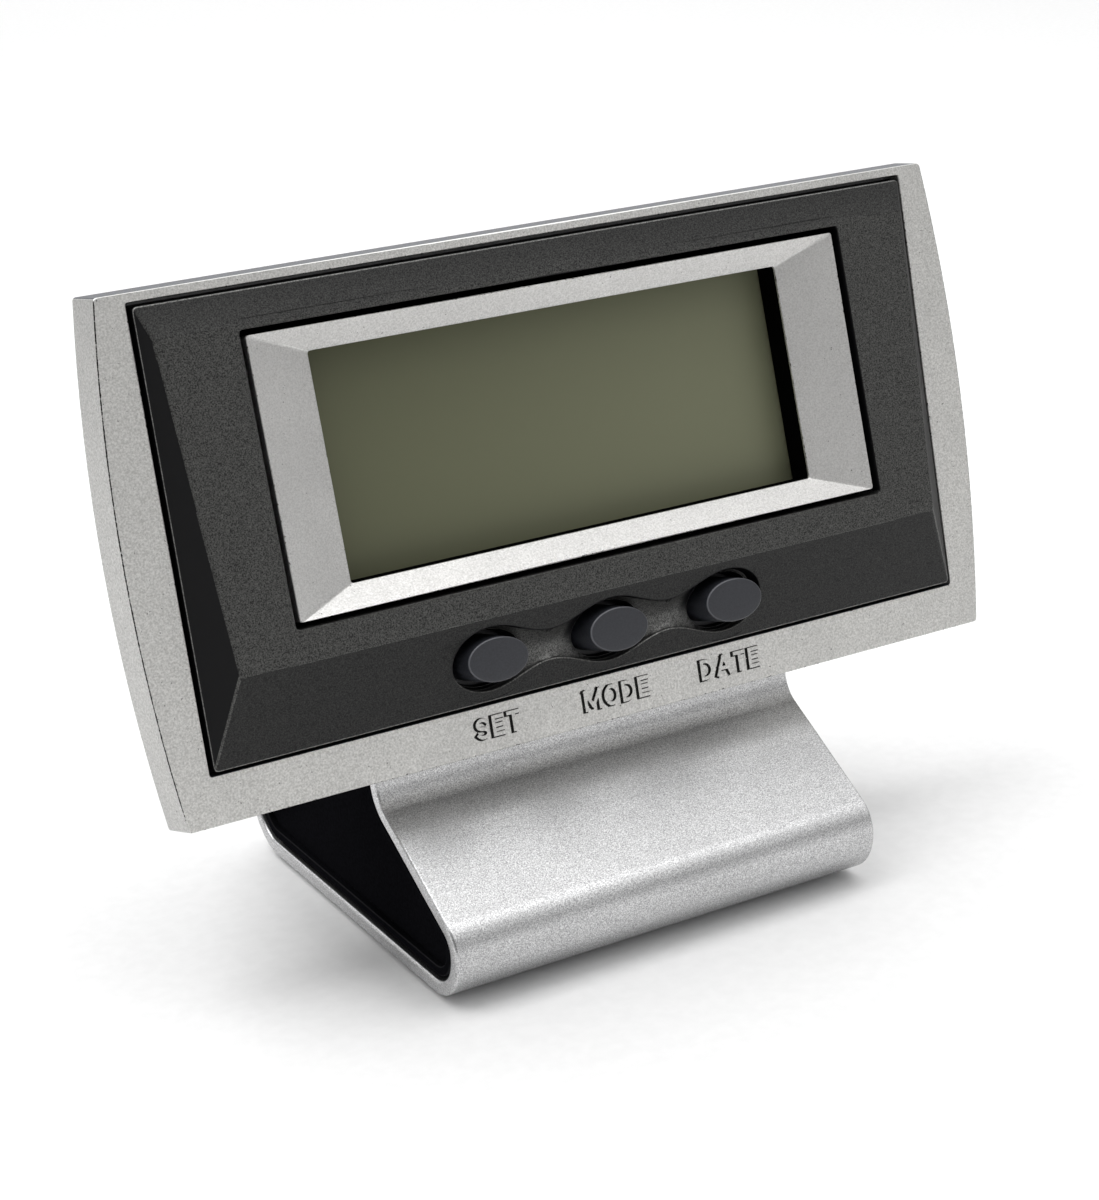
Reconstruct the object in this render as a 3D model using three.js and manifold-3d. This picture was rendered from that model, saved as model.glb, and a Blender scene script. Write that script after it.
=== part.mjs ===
// Small digital desk clock with calendar on a bent metal stand.
// Millimetres, +Z up, the display faces -Y and leans back.
import * as THREE from "three";
import { mergeVertices } from "three/addons/utils/BufferGeometryUtils.js";
import Module from "manifold-3d";

const wasm = await Module();
wasm.setup();

// Clearances
const seatGap = 0.3; // between pieces that sit on or in each other
const keyGap = 0.35; // round each key in its hole
const bondGap = 0.05; // between bonded layers
const screwGap = 0.25; // round a screw in its hole, and round its head
const screwLift = 0.1; // under a screw's head
const contactGap = 0.1; // between the cell and its springs
const pinGap = 0.12; // round the door's pins
const overrun = 1; // how far a cutting tool passes a face

// Head, seen from the front
const faceWidth = 84.1; // across the middle of the bowed sides
const faceBow = 1.5; // how far each side bows out past its corners
const faceHeight = 43.75;
const faceTilt = 12; // degrees the face leans back
const frameDepth = 3.8;
const frameFlareX = 0.45; // the frame is this much wider at its back, each side
const frameFlareZ = 0.25;
const frameWall = 1.4;
const sideMargin = 4.05; // silver band beside the window
const marginBelow = 4.15; // silver band that carries the legends
const marginAbove = 0.75;

// Raised dark bezel
const bezelWall = 1;
const bezelEdgeRise = 0.3; // the bezel's edge stands this proud of the frame
const plinthRise = 3.34; // height of the raised plane over the face, at the window's lower edge
const plinthLean = 3.2; // degrees the raised plane leans back from the face
const ridgeInsetTop = 3.15; // from the window's upper edge down to the ridge
const ridgeInsetSideTop = 1.2;
const ridgeInsetSideBottom = 3.0;
const ridgeHeight = 7.87; // of the lower ridge over the window's lower edge
const bezelFlangeThickness = 0.8;
const bezelFlangeReach = 0.8; // how far the flange passes behind the frame

// Silver picture frame and the display behind it, depths from the raised plane
const openingSide = 14.78; // window edge to display opening, left and right
const openingBelow = 13.22;
const openingAbove = 6.13;
const lcdFrameBandSide = 5.73;
const lcdFrameBandEnd = 2.1;
const lcdFrameRecess = 0.25;
const lcdFrameSlope = 1.55; // how far its facets fall towards the opening
const lcdFrameGap = 0.5; // black line round the silver picture frame
const lcdFrameDepth = 3.2;
const lcdFrameShell = 0.5;
const lcdFrameWall = 0.8;
const maskWall = 1.0;
const maskLapSide = 0.6; // of the mask behind the picture frame
const maskLapEnd = 1.2;
const wellGap = 0.02; // mask behind the edge of the opening
const displayDepth = 4.95; // raised plane to the front of the glass
const glassThickness = 0.7;
const glassLap = 2.4; // hidden border of the glass round the opening
const contactLedge = 2.0;
const reflectorThickness = 0.2;
const zebraHeight = 2.5;
const boardThickness = 1.0;
const boardSide = 4.4; // board edge to window edge, left and right
const boardBelow = 1.3;
const boardAbove = 2.2;

// Keys
const keyWidth = 5.8;
const keyHeight = 3.8;
const keyPitch = 12;
const keyRise = 0.1; // the key faces stand this proud of the raised plane
const keyLevel = 4.3; // height of the key row over the window's lower edge
const keyTravel = 0.8;
const keyDraft = 0.1;
const keyEdge = 0.2;
const keyFlangeReach = 0.75;
const keyFlangeThickness = 0.7;
const stemRadius = 1.6;
const pillRadius = 1.3;
const pillThickness = 0.4;
const lobeReach = 0.9; // recess outline beyond the key, at a lobe
const neckHalf = 1.35; // half height of the recess between two keys
const recessSink = 0.75; // floor of the recess below the sloping skin, straight back
const bottomSlope = 22.2; // degrees the lower bezel slope falls from the raised plane
const keyBlockDepth = 4.5;
const keyBlockWall = 1.0;
const keypadSheet = 0.8;
const keypadMargin = 1.6; // sheet beyond the outer keys
const keypadHeight = 5.8;
const skirtTopWall = 0.45;
const skirtFootWall = 1.2;
const legendHeight = 1.9;
const legendStroke = 0.33;
const legendSpace = 0.5; // between the pen lines of neighbouring letters
const legendDrop = 1.91; // middle of the legends below the window's lower edge
const legendShift = 0.35; // the legends sit this far right of their keys
const legendRelief = 0.3;

// Rear cover
const coverDepth = 14.2; // face to the back of the cover
const coverWall = 1.6;
const coverLip = 1.2;
const coverTaper = [
  { depth: 0, side: 0.6, below: 0.9, above: 0.6 },
  { depth: 0.42, side: 2.0, below: 1.0, above: 1.2 },
  { depth: 0.82, side: 3.5, below: 1.2, above: 2.3 },
  { depth: 0.95, side: 4.5, below: 1.9, above: 3.3 },
  { depth: 1, side: 5.6, below: 3.0, above: 4.4 },
];

// Button cell and its bay
const cellDiameter = 11.6;
const cellThickness = 3.05;
const cellX = 15.5;
const cellZ = 20;
const bayWall = 1.2;
const bayFloor = 1.0;
const springRoom = 0.2; // the cell's play against its lower spring
const springLength = 7.8;
const springWidth = 2.6;
const leafWidth = 5;
const dimpleHeight = 0.15; // of the bump on the upper contact
const doorHeel = 0.6; // the door's pinned edge below its bay
const doorThickness = 1.3;
const doorPinRadius = 0.3;
const doorPinLength = 0.9;
const tongueWidth = 4;
const tongueReach = 0.8;
const gripWidth = 5.2;
const gripDepth = 0.3;
const gripPitch = 1;
const contactSheet = 0.3;

// Screws
const screwRadius = 0.75;
const screwHeadRadius = 1.6;
const screwHeadHeight = 1.1;
const screwSink = 2.6; // depth of the case screws' counterbores
const screwSlot = 0.45;
const screwPoint = 0.8; // length of a screw's tapered end
const caseScrewInset = 5.8; // screw axis to the window's side edges
const caseScrewBelow = 3.6; // screw axis to the window's lower edge
const caseScrewAbove = 7.5; // screw axis to the window's upper edge
const caseBossRadius = 2.1;
const boardBossRadius = 1.8;
const boardScrewInset = 6.4; // screw axis to the window's side edges
const caseBossBack = 6.6; // face to the back of the bosses
const postWall = 1; // round a screw's head

// Stand
const standWidth = 43.3;
const stripThickness = 1.3;
const slopeAngle = 30.7; // degrees of the front slope over the table
const slopeLength = 12.2;
const rollRadiusUpper = 2.1; // bend radii are those of the concave surface
const rollRadiusLower = 3.45;
const neckRadius = 3;
const neckLength = 6; // straight end of the strip that enters the head
const neckDepth = 5.1; // face to the front of the strip's straight end
const neckEntry = 0.2; // height of the strip's upper end over the window's lower edge
const baseLength = 33;
const rearRadius = 3.7;
const rearTurn = 78;
const coreRim = 0.9;
const coreRimInset = 0.3; // strip edge to the rim of the core
const corePanelInset = 0.9;
const coreWall = 1.6;
const coreOpening = 9; // length of each opening in the core's underside
const coreOpeningOffset = 9.2; // from the foot screws
const coreRearSag = 2.2; // how far the core's back slope hollows in
const standScrewSpacing = 22;
const standScrewDepth = 9.5; // face to the screws that hold the head
const standScrewBite = 5; // how far they reach into the core
const footScrewSpacing = 24;
const footScrewSink = 0.8;
const footScrewLength = 4.5;
const footHeadHeight = 0.65;
const corePostRadius = 2.3;
const coreSetback = 1.2; // top of the core's back slope to the back of the cover
const padWidth = 34;
const padLength = 25;
const padThickness = 0.4;

// Small parts on the back of the board
const chipRadius = 4.6;
const chipHeight = 1.4;
const chipX = -8;
const crystalRadius = 1;
const crystalLength = 6;
const crystalX = -19.5;
const capacitorLength = 2;
const capacitorWidth = 1.2;
const capacitorHeight = 0.8;
const capacitorX = -18;
const capacitorPitch = 3;

const rad = THREE.MathUtils.degToRad;
const round = 32; // segments of a full turn

// Solids

function solidOf(geometry) {
  const bare = geometry.clone();
  bare.deleteAttribute("normal");
  bare.deleteAttribute("uv");
  const merged = mergeVertices(bare, 1e-4);
  return new wasm.Manifold(
    new wasm.Mesh({
      numProp: 3,
      vertProperties: new Float32Array(merged.attributes.position.array),
      triVerts: new Uint32Array(merged.index.array),
    }),
  );
}

function geometryOf(solid) {
  const mesh = solid.getMesh();
  return new THREE.BufferGeometry()
    .setAttribute("position", new THREE.BufferAttribute(mesh.vertProperties, 3))
    .setIndex(new THREE.BufferAttribute(mesh.triVerts, 1));
}

function join(...geometries) {
  return geometryOf(geometries.map(solidOf).reduce((a, b) => a.add(b)));
}

function cut(geometry, ...tools) {
  return geometryOf(tools.map(solidOf).reduce((a, b) => a.subtract(b), solidOf(geometry)));
}

function common(a, b) {
  return geometryOf(solidOf(a).intersect(solidOf(b)));
}

function box(x0, x1, y0, y1, z0, z1) {
  return new THREE.BoxGeometry(x1 - x0, y1 - y0, z1 - z0).translate(
    (x0 + x1) / 2,
    (y0 + y1) / 2,
    (z0 + z1) / 2,
  );
}

// A rod along Y between two depths.
function rod(radius, y0, y1, x = 0, z = 0, segments = round) {
  return new THREE.CylinderGeometry(radius, radius, y1 - y0, segments).translate(x, (y0 + y1) / 2, z);
}

// An outline drawn in X and Z, extruded from y0 back to y1.
function slab(points, y0, y1) {
  return new THREE.ExtrudeGeometry(new THREE.Shape(points), {
    depth: y1 - y0,
    bevelEnabled: false,
  })
    .rotateX(Math.PI / 2)
    .translate(0, y1, 0);
}

// An outline drawn in Y and Z, extruded across x from -half to half.
function sideSlab(points, half) {
  return new THREE.ExtrudeGeometry(new THREE.Shape(points), {
    depth: 2 * half,
    bevelEnabled: false,
  })
    .applyMatrix4(new THREE.Matrix4().set(0, 0, 1, -half, 1, 0, 0, 0, 0, 1, 0, 0, 0, 0, 0, 1));
}

// A skin over rings of equal count, each anticlockwise from the front, taken from front to back:
// capped at both ends, or closed round on itself.
function loft(rings, closed = false) {
  const count = rings[0].length;
  const position = rings.flat().flatMap((p) => [p.x, p.y, p.z]);
  const index = [];
  const spans = closed ? rings.length : rings.length - 1;
  for (let r = 0; r < spans; r++)
    for (let i = 0; i < count; i++) {
      const a = r * count + i;
      const b = r * count + ((i + 1) % count);
      const c = ((r + 1) % rings.length) * count + i;
      const d = ((r + 1) % rings.length) * count + ((i + 1) % count);
      index.push(a, d, b, a, c, d);
    }
  if (!closed) {
    const flat = (ring) => ring.map((p) => new THREE.Vector2(p.x, p.z));
    const last = (rings.length - 1) * count;
    for (const [a, b, c] of THREE.ShapeUtils.triangulateShape(flat(rings[0]), [])) index.push(a, b, c);
    for (const [a, b, c] of THREE.ShapeUtils.triangulateShape(flat(rings.at(-1)), []))
      index.push(last + c, last + b, last + a);
  }
  return new THREE.BufferGeometry()
    .setAttribute("position", new THREE.Float32BufferAttribute(position, 3))
    .setIndex(index);
}

function ring(points, y) {
  return points.map((p) => new THREE.Vector3(p.x, y, p.y));
}

function rectangle(half, z0, z1) {
  return [
    new THREE.Vector2(-half, z0),
    new THREE.Vector2(half, z0),
    new THREE.Vector2(half, z1),
    new THREE.Vector2(-half, z1),
  ];
}

// A turned piece: profile of [radius, depth] pairs round Y, squeezed in Z for oval pieces.
function turned(profile, squeeze = 1, segments = round) {
  const points = profile.map(([r, y]) => new THREE.Vector2(r, y));
  return new THREE.LatheGeometry(points, segments).scale(1, 1, squeeze);
}

// Outline of the face: flat top and bottom, bowed sides.
function faceOutline(inset = { side: 0, below: 0, above: 0 }, steps = 12) {
  const z0 = faceBottom + inset.below;
  const z1 = faceTop - inset.above;
  const chord = (z1 - z0) / 2;
  const bow = faceBow * (chord / (faceHeight / 2)) ** 2;
  const radius = (chord ** 2 + bow ** 2) / (2 * bow);
  const reach = Math.asin(chord / radius);
  const centreX = faceWidth / 2 - inset.side - radius;
  const points = [];
  for (const side of [1, -1])
    for (let i = 0; i <= steps; i++) {
      const a = side * reach * ((2 * i) / steps - 1);
      points.push(
        new THREE.Vector2(side * (centreX + radius * Math.cos(a)), (z0 + z1) / 2 + radius * Math.sin(a)),
      );
    }
  return points;
}

// Places that follow from the sizes above

const faceBottom = -marginBelow; // heights count from the window's lower edge
const faceTop = faceHeight - marginBelow;
const windowHalf = faceWidth / 2 - sideMargin;
const windowTop = faceTop - marginAbove;
const flangeFront = frameWall + seatGap;
const flangeBack = flangeFront + bezelFlangeThickness;

const openingHalf = windowHalf - openingSide;
const openingBottom = openingBelow;
const openingTop = windowTop - openingAbove;
const lcdFrameHalf = openingHalf + lcdFrameBandSide;
const lcdFrameBottom = openingBottom - lcdFrameBandEnd;
const lcdFrameTop = openingTop + lcdFrameBandEnd;
const rimDepth = lcdFrameRecess + lcdFrameSlope;

const glassHalf = openingHalf + glassLap;
const glassBottom = openingBottom - glassLap;
const glassTop = openingTop + glassLap;
const glassBack = displayDepth + glassThickness;
const rearGlassBack = glassBack + bondGap + glassThickness;
const boardFront = glassBack + zebraHeight + 2 * bondGap;
const boardBack = boardFront + boardThickness;
const boardHalf = windowHalf - boardSide;
const boardBottom = boardBelow;
const boardTop = windowTop - boardAbove;

const keys = [
  { name: "set", x: -keyPitch, legend: "SET" },
  { name: "mode", x: 0, legend: "MODE" },
  { name: "date", x: keyPitch, legend: "DATE" },
];
const keySqueeze = keyHeight / keyWidth;
const pillBack = boardFront - keyTravel - 2 * bondGap;
const pillFront = pillBack - pillThickness;
const keyFlangeFront = keyBlockDepth + seatGap;
const keyFlangeBack = keyFlangeFront + keyFlangeThickness;

const coverFront = frameDepth + seatGap;
const doorInside = coverDepth - doorThickness;
const cellBack = doorInside - seatGap;
const cellFront = cellBack - cellThickness;
const bayFloorBack = cellFront - contactSheet - springRoom;
const bayFloorFront = bayFloorBack - bayFloor;
const cellRadius = cellDiameter / 2;
const pocketRadius = cellRadius + seatGap;
const springX = cellX - springLength / 2 - contactSheet;
const doorHalf = pocketRadius + bayWall;
const doorBottom = cellZ - doorHalf - doorHeel;
const doorTop = cellZ + doorHalf;
const doorPivotY = coverDepth - doorThickness / 2;
const doorPivotZ = doorBottom + doorThickness / 2;

const caseScrewZ = [caseScrewBelow, windowTop - caseScrewAbove];
const caseScrewX = windowHalf - caseScrewInset;
const boardScrewX = windowHalf - boardScrewInset;
const holeRadius = screwRadius + screwGap;
const sinkRadius = screwHeadRadius + screwGap;
const postRadius = screwHeadRadius + postWall;
const boardScrewZ = (boardBottom + boardTop) / 2;

const display = new THREE.Matrix4()
  .makeRotationX(-rad(plinthLean))
  .setPosition(0, -plinthRise, 0);

// A piece given by its depth behind the raised plane, moved into the head.
function inDisplay(geometry) {
  return geometry.clone().applyMatrix4(display);
}

// Finishes

const finish = (color, roughness, metalness = 0) =>
  new THREE.MeshStandardMaterial({ color, roughness, metalness });
const silverPaint = finish(0xb4b3ae, 0.42, 0.6);
const charcoalPaint = finish(0x3b3b39, 0.6);
const blackPlastic = finish(0x151517, 0.45);
const keyRubber = finish(0x414247, 0.5);
const siliconeRubber = finish(0x8d8f92, 0.7);
const displayGlass = finish(0x60614f, 0.15);
const reflectorFoil = finish(0x9a9b8c, 0.4, 0.3);
const zebraRubber = finish(0x2b2b2b, 0.8);
const boardResin = finish(0x2f5d3a, 0.5);
const chipResin = finish(0x0c0c0c, 0.35);
const ceramic = finish(0xb08d5f, 0.6);
const screwSteel = finish(0x8c8e90, 0.35, 0.9);
const contactSteel = finish(0xb9b59f, 0.3, 0.9);
const anodisedStrip = finish(0xb9babb, 0.35, 0.9);
const padRubber = finish(0x222222, 0.9);

function piece(name, geometry, material, y = 0, x = 0, z = 0) {
  const mesh = new THREE.Mesh(geometry, material);
  mesh.name = name;
  mesh.position.set(x, y, z);
  return mesh;
}

// Raised legends, each letter from strokes in a box one unit high

function arcPoints(cx, cz, rx, rz, from, to, steps = 10) {
  const points = [];
  for (let i = 0; i <= steps; i++) {
    const a = rad(from + ((to - from) * i) / steps);
    points.push([cx + rx * Math.cos(a), cz + rz * Math.sin(a)]);
  }
  return points;
}

const letters = {
  S: {
    width: 0.64,
    strokes: [
      [...arcPoints(0.32, 0.745, 0.32, 0.255, 25, 270), ...arcPoints(0.32, 0.245, 0.32, 0.245, 80, -155)],
    ],
  },
  E: {
    width: 0.68,
    strokes: [[[0, 0], [0, 1]], [[0, 1], [0.68, 1]], [[0, 0.52], [0.6, 0.52]], [[0, 0], [0.68, 0]]],
  },
  T: { width: 0.76, strokes: [[[0, 1], [0.76, 1]], [[0.38, 0], [0.38, 1]]] },
  M: {
    width: 1.05,
    strokes: [[[0, 0], [0, 1]], [[0, 1], [0.52, 0.15]], [[0.52, 0.15], [1.05, 1]], [[1.05, 1], [1.05, 0]]],
  },
  O: {
    width: 0.8,
    strokes: [arcPoints(0.4, 0.5, 0.4, 0.5, -100, 100), arcPoints(0.4, 0.5, 0.4, 0.5, 80, 280)],
  },
  D: {
    width: 0.7,
    strokes: [[[0, 0], [0, 1]], [[0, 0], ...arcPoints(0.22, 0.5, 0.48, 0.5, -90, 90), [0, 1]]],
  },
  A: {
    width: 0.85,
    strokes: [[[0, 0], [0.42, 1]], [[0.43, 1], [0.85, 0]], [[0.15, 0.34], [0.7, 0.34]]],
  },
};

// The outline of a pen stroke along a line of points, its ends half a stroke longer.
function strokeOutline(points) {
  const line = points.map(([x, z]) => new THREE.Vector2(x, z).multiplyScalar(legendHeight - legendStroke));
  const left = [];
  const right = [];
  line.forEach((p, i) => {
    const before = line[Math.max(i - 1, 0)];
    const after = line[Math.min(i + 1, line.length - 1)];
    const along = after.clone().sub(before).normalize();
    const across = new THREE.Vector2(-along.y, along.x).multiplyScalar(legendStroke / 2);
    const end = i === 0 ? -1 : i === line.length - 1 ? 1 : 0;
    const at = p.clone().addScaledVector(along, (end * legendStroke) / 2);
    left.push(at.clone().add(across));
    right.push(at.clone().sub(across));
  });
  return [...right, ...left.reverse()];
}

function legend(text, x) {
  const scale = legendHeight - legendStroke;
  const widths = [...text].map((c) => letters[c].width * scale);
  const length = widths.reduce((a, b) => a + b) + legendSpace * (text.length - 1);
  let at = x + legendShift - length / 2;
  return [...text].flatMap((c, i) => {
    const strokes = letters[c].strokes.map((s) =>
      slab(strokeOutline(s), -legendRelief, frameWall / 2).translate(at, 0, -legendDrop - scale / 2),
    );
    at += widths[i] + legendSpace;
    return strokes;
  });
}

// Silver front frame with its window and raised legends

function frontFrame() {
  const outer = loft([
    ring(faceOutline(), 0),
    ring(faceOutline({ side: -frameFlareX, below: -frameFlareZ, above: -frameFlareZ }), frameDepth),
  ]);
  const window = slab(rectangle(windowHalf, 0, windowTop), -overrun, frameDepth + overrun);
  const hollow = slab(
    faceOutline({ side: frameWall, below: frameWall, above: marginAbove }),
    frameWall,
    frameDepth + overrun,
  );
  const shell = cut(outer, window, hollow);
  return join(shell, ...keys.flatMap((k) => legend(k.legend, k.x)));
}

// Recess outline round the row of keys: a lobe at each key, a neck between

function recessOutline(grow = 0, steps = 32) {
  const lobeHalf = keyHeight / 2 + lobeReach;
  const endReach = keyWidth / 2 + lobeReach;
  const mean = (lobeHalf + neckHalf) / 2;
  const swing = (lobeHalf - neckHalf) / 2;
  const upper = [];
  const last = keyPitch + endReach;
  for (let i = 0; i <= steps; i++) {
    const x = last * -Math.cos((Math.PI * i) / steps);
    const past = Math.max(0, Math.abs(x) - keyPitch) / endReach;
    const wave = past > 0 ? lobeHalf : mean + swing * Math.cos((2 * Math.PI * x) / keyPitch);
    const half = wave * Math.sqrt(Math.max(0, 1 - past ** 2));
    upper.push(new THREE.Vector2(x * (1 + grow / last), half > 0.01 ? half + grow : 0));
  }
  const lower = upper
    .slice(1, -1)
    .reverse()
    .map((p) => new THREE.Vector2(p.x, -p.y));
  return [...upper, ...lower].reverse().map((p) => p.add(new THREE.Vector2(0, keyLevel)));
}

// Dark bezel: a raised plinth with the display cut-out, the key recess and the screw bosses

function bezelEdge(inset, y) {
  return ring(rectangle(windowHalf - inset, inset, windowTop - inset), y);
}

function bezelRidge(inset, depth) {
  const low = windowHalf - ridgeInsetSideBottom - inset;
  const high = windowHalf - ridgeInsetSideTop - inset;
  const z = [ridgeHeight + inset, windowTop - ridgeInsetTop - inset];
  return [
    [-low, z[0]],
    [low, z[0]],
    [high, z[1]],
    [-high, z[1]],
  ].map(([x, at]) => new THREE.Vector3(x, depth, at).applyMatrix4(display));
}

// The plinth as a solid, from its front back to a given head depth
function plinth(back) {
  return loft([bezelRidge(0, 0), bezelEdge(seatGap, -bezelEdgeRise), bezelEdge(seatGap, back)]);
}

function keyHole(front, back) {
  const grow = keyDraft + keyGap;
  const half = keyWidth / 2 + grow;
  return rod(half, front, back).scale(1, 1, (keyHeight / 2 + grow) / half);
}

function bezel() {
  const inside = seatGap + bezelWall;
  const hollow = loft([
    bezelRidge(bezelWall / 2, bezelWall),
    bezelEdge(inside, bezelWall - bezelEdgeRise),
    bezelEdge(inside, flangeBack + overrun),
  ]);
  const flange = cut(
    slab(
      rectangle(windowHalf + bezelFlangeReach, -bezelFlangeReach, windowTop - seatGap),
      flangeFront,
      flangeBack,
    ),
    slab(rectangle(windowHalf - inside, inside, windowTop - inside), 0, flangeBack + overrun),
  );
  const deep = plinth(coverDepth);
  const cutHalf = lcdFrameHalf + lcdFrameGap;
  const cutBottom = lcdFrameBottom - lcdFrameGap;
  const cutTop = lcdFrameTop + lcdFrameGap;
  const wall = bezelWall;
  const collar = slab(rectangle(cutHalf + wall, cutBottom - wall, cutTop + wall), -overrun, lcdFrameDepth);
  const keyBlock = slab(recessOutline(keyBlockWall), -overrun, keyBlockDepth);
  const bosses = [];
  const bores = [];
  for (const side of [-1, 1]) {
    for (const z of caseScrewZ) {
      const x = side * caseScrewX;
      bosses.push(rod(caseBossRadius, -plinthRise, caseBossBack, x, z));
      bores.push(rod(holeRadius, frameWall, caseBossBack + overrun, x, z, 24));
    }
    const x = side * boardScrewX;
    bosses.push(inDisplay(rod(boardBossRadius, -overrun, boardFront - seatGap, x, boardScrewZ)));
    bores.push(inDisplay(rod(holeRadius, 2 * bezelWall, boardFront + overrun, x, boardScrewZ, 24)));
  }
  const body = join(
    cut(plinth(flangeBack), hollow),
    flange,
    ...[inDisplay(collar), inDisplay(keyBlock), ...bosses].map((g) => common(g, deep)),
  );
  const fall = Math.tan(rad(bottomSlope));
  const recess = loft([
    ring(recessOutline(), -overrun),
    recessOutline().map((p) => new THREE.Vector3(p.x, (ridgeHeight - p.y) * fall + recessSink, p.y)),
  ]);
  return cut(
    body,
    inDisplay(slab(rectangle(cutHalf, cutBottom, cutTop), -overrun, coverDepth)),
    inDisplay(recess),
    ...keys.map((k) => inDisplay(keyHole(-overrun, keyBlockDepth + overrun).translate(k.x, 0, keyLevel))),
    ...bores,
  );
}

// Silver picture frame round the display, its four facets falling inwards

function openingRing(grow, depth) {
  return ring(rectangle(openingHalf + grow, openingBottom - grow, openingTop + grow), depth);
}

function lcdFrame() {
  const outline = (inset, depth) =>
    ring(rectangle(lcdFrameHalf - inset, lcdFrameBottom + inset, lcdFrameTop - inset), depth);
  return loft(
    [
      openingRing(0, rimDepth),
      outline(0, lcdFrameRecess),
      outline(0, lcdFrameDepth),
      outline(lcdFrameWall, lcdFrameDepth),
      outline(lcdFrameWall, lcdFrameRecess + 2 * lcdFrameShell),
      openingRing(0.3, rimDepth + 0.25),
      openingRing(0, rimDepth + 0.2),
    ],
    true,
  );
}

// Black mask: the collar that is seen as the dark wall of the display well, and its flange

function lcdMask() {
  const front = lcdFrameDepth + seatGap;
  const back = displayDepth - seatGap;
  const flange = (depth) =>
    ring(
      rectangle(lcdFrameHalf + maskLapSide, lcdFrameBottom - maskLapEnd, lcdFrameTop + maskLapEnd),
      depth,
    );
  return loft(
    [
      openingRing(wellGap, back),
      openingRing(wellGap, rimDepth + 0.5),
      openingRing(maskWall, rimDepth + 0.7),
      openingRing(maskWall, front),
      flange(front),
      flange(back),
    ],
    true,
  );
}

// Display glass, connectors and circuit board

function board() {
  const plate = slab(rectangle(boardHalf, boardBottom, boardTop), boardFront, boardBack);
  const clear = postRadius + seatGap;
  const x0 = caseScrewX - clear;
  const x1 = boardHalf + overrun;
  const y0 = boardFront - overrun;
  const y1 = boardBack + overrun;
  const notches = [
    [x0, x1],
    [-x1, -x0],
  ].flatMap(([left, right]) => [
    box(left, right, y0, y1, boardBottom - overrun, caseScrewZ[0] + clear),
    box(left, right, y0, y1, caseScrewZ[1] - clear, boardTop + overrun),
  ]);
  const holes = [-1, 1].map((side) =>
    rod(holeRadius, y0, y1, side * boardScrewX, boardScrewZ, 24),
  );
  return cut(plate, ...notches, ...holes);
}

function keyCap() {
  const half = keyWidth / 2;
  return turned(
    [
      [0, -keyRise],
      [half - keyEdge, -keyRise],
      [half - keyEdge * 0.3, keyEdge * 0.3 - keyRise],
      [half, keyEdge - keyRise],
      [half + keyDraft, keyFlangeFront],
      [half + keyFlangeReach, keyFlangeFront],
      [half + keyFlangeReach, keyFlangeBack],
      [stemRadius, keyFlangeBack],
      [stemRadius, pillFront - bondGap],
      [0, pillFront - bondGap],
    ],
    keySqueeze,
  );
}

function contactPill() {
  return rod(pillRadius, pillFront, pillBack, 0, 0, 24).scale(1, 1, keySqueeze);
}

// Silicone keypad: a sheet on the board with a raised skirt round each stem

function keypad() {
  const back = boardFront - bondGap;
  const front = back - keypadSheet;
  const skirtTop = keyFlangeBack + keyTravel + 2 * bondGap;
  const half = keyPitch + keyWidth / 2 + keypadMargin;
  const bore = stemRadius + keyGap;
  const middle = (front + back) / 2;
  const sheet = slab(
    rectangle(half, keyLevel - keypadHeight / 2, keyLevel + keypadHeight / 2),
    front,
    back,
  );
  const skirt = turned(
    [
      [bore, skirtTop],
      [bore + skirtTopWall, skirtTop],
      [bore + skirtFootWall, front],
      [bore + skirtFootWall, middle],
      [bore, middle],
      [bore, skirtTop],
    ],
    keySqueeze,
    24,
  );
  const hole = rod(bore, front - overrun, back + overrun, 0, 0, 24).scale(1, 1, keySqueeze);
  return cut(
    join(sheet, ...keys.map((k) => skirt.clone().translate(k.x, 0, keyLevel))),
    ...keys.map((k) => hole.clone().translate(k.x, 0, keyLevel)),
  );
}

// Cross-head screw, its head outwards along +Y and its tip towards -Y

function screw(length, headHeight = screwHeadHeight) {
  const body = turned(
    [
      [0, -length],
      [screwRadius / 2, -length],
      [screwRadius, screwPoint - length],
      [screwRadius, 0],
      [screwHeadRadius, 0],
      [screwHeadRadius, headHeight * 0.55],
      [screwHeadRadius * 0.72, headHeight],
      [0, headHeight],
    ],
    1,
    16,
  );
  const reach = screwHeadRadius * 0.62; // of the cross
  const deep = headHeight * 0.4;
  return cut(
    body,
    box(-reach, reach, deep, headHeight + overrun, -screwSlot / 2, screwSlot / 2),
    box(-screwSlot / 2, screwSlot / 2, deep, headHeight + overrun, -reach, reach),
  );
}

// Rear cover with the cell bay, the screw posts and the slot for the strip

function coverRings(wall, from) {
  const length = coverDepth - coverFront;
  return coverTaper.map(({ depth, side, below, above }) => {
    const y = coverFront + depth * length - (depth > 0 ? wall * depth : 0);
    const outline = faceOutline({
      side: side - frameFlareX + wall,
      below: below - frameFlareZ + wall,
      above: above - frameFlareZ + wall,
    });
    return ring(outline, depth === 0 ? from : y);
  });
}

function coverLipRing(inset, front, back) {
  return slab(
    faceOutline({
      side: frameWall + seatGap + inset,
      below: frameWall + seatGap + inset,
      above: marginAbove + seatGap + inset,
    }),
    front,
    back,
  );
}

// A rod along Z between two heights.
function upright(radius, z0, z1, x, y) {
  return new THREE.CylinderGeometry(radius, radius, z1 - z0, 24)
    .rotateX(Math.PI / 2)
    .translate(x, y, (z0 + z1) / 2);
}

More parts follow.
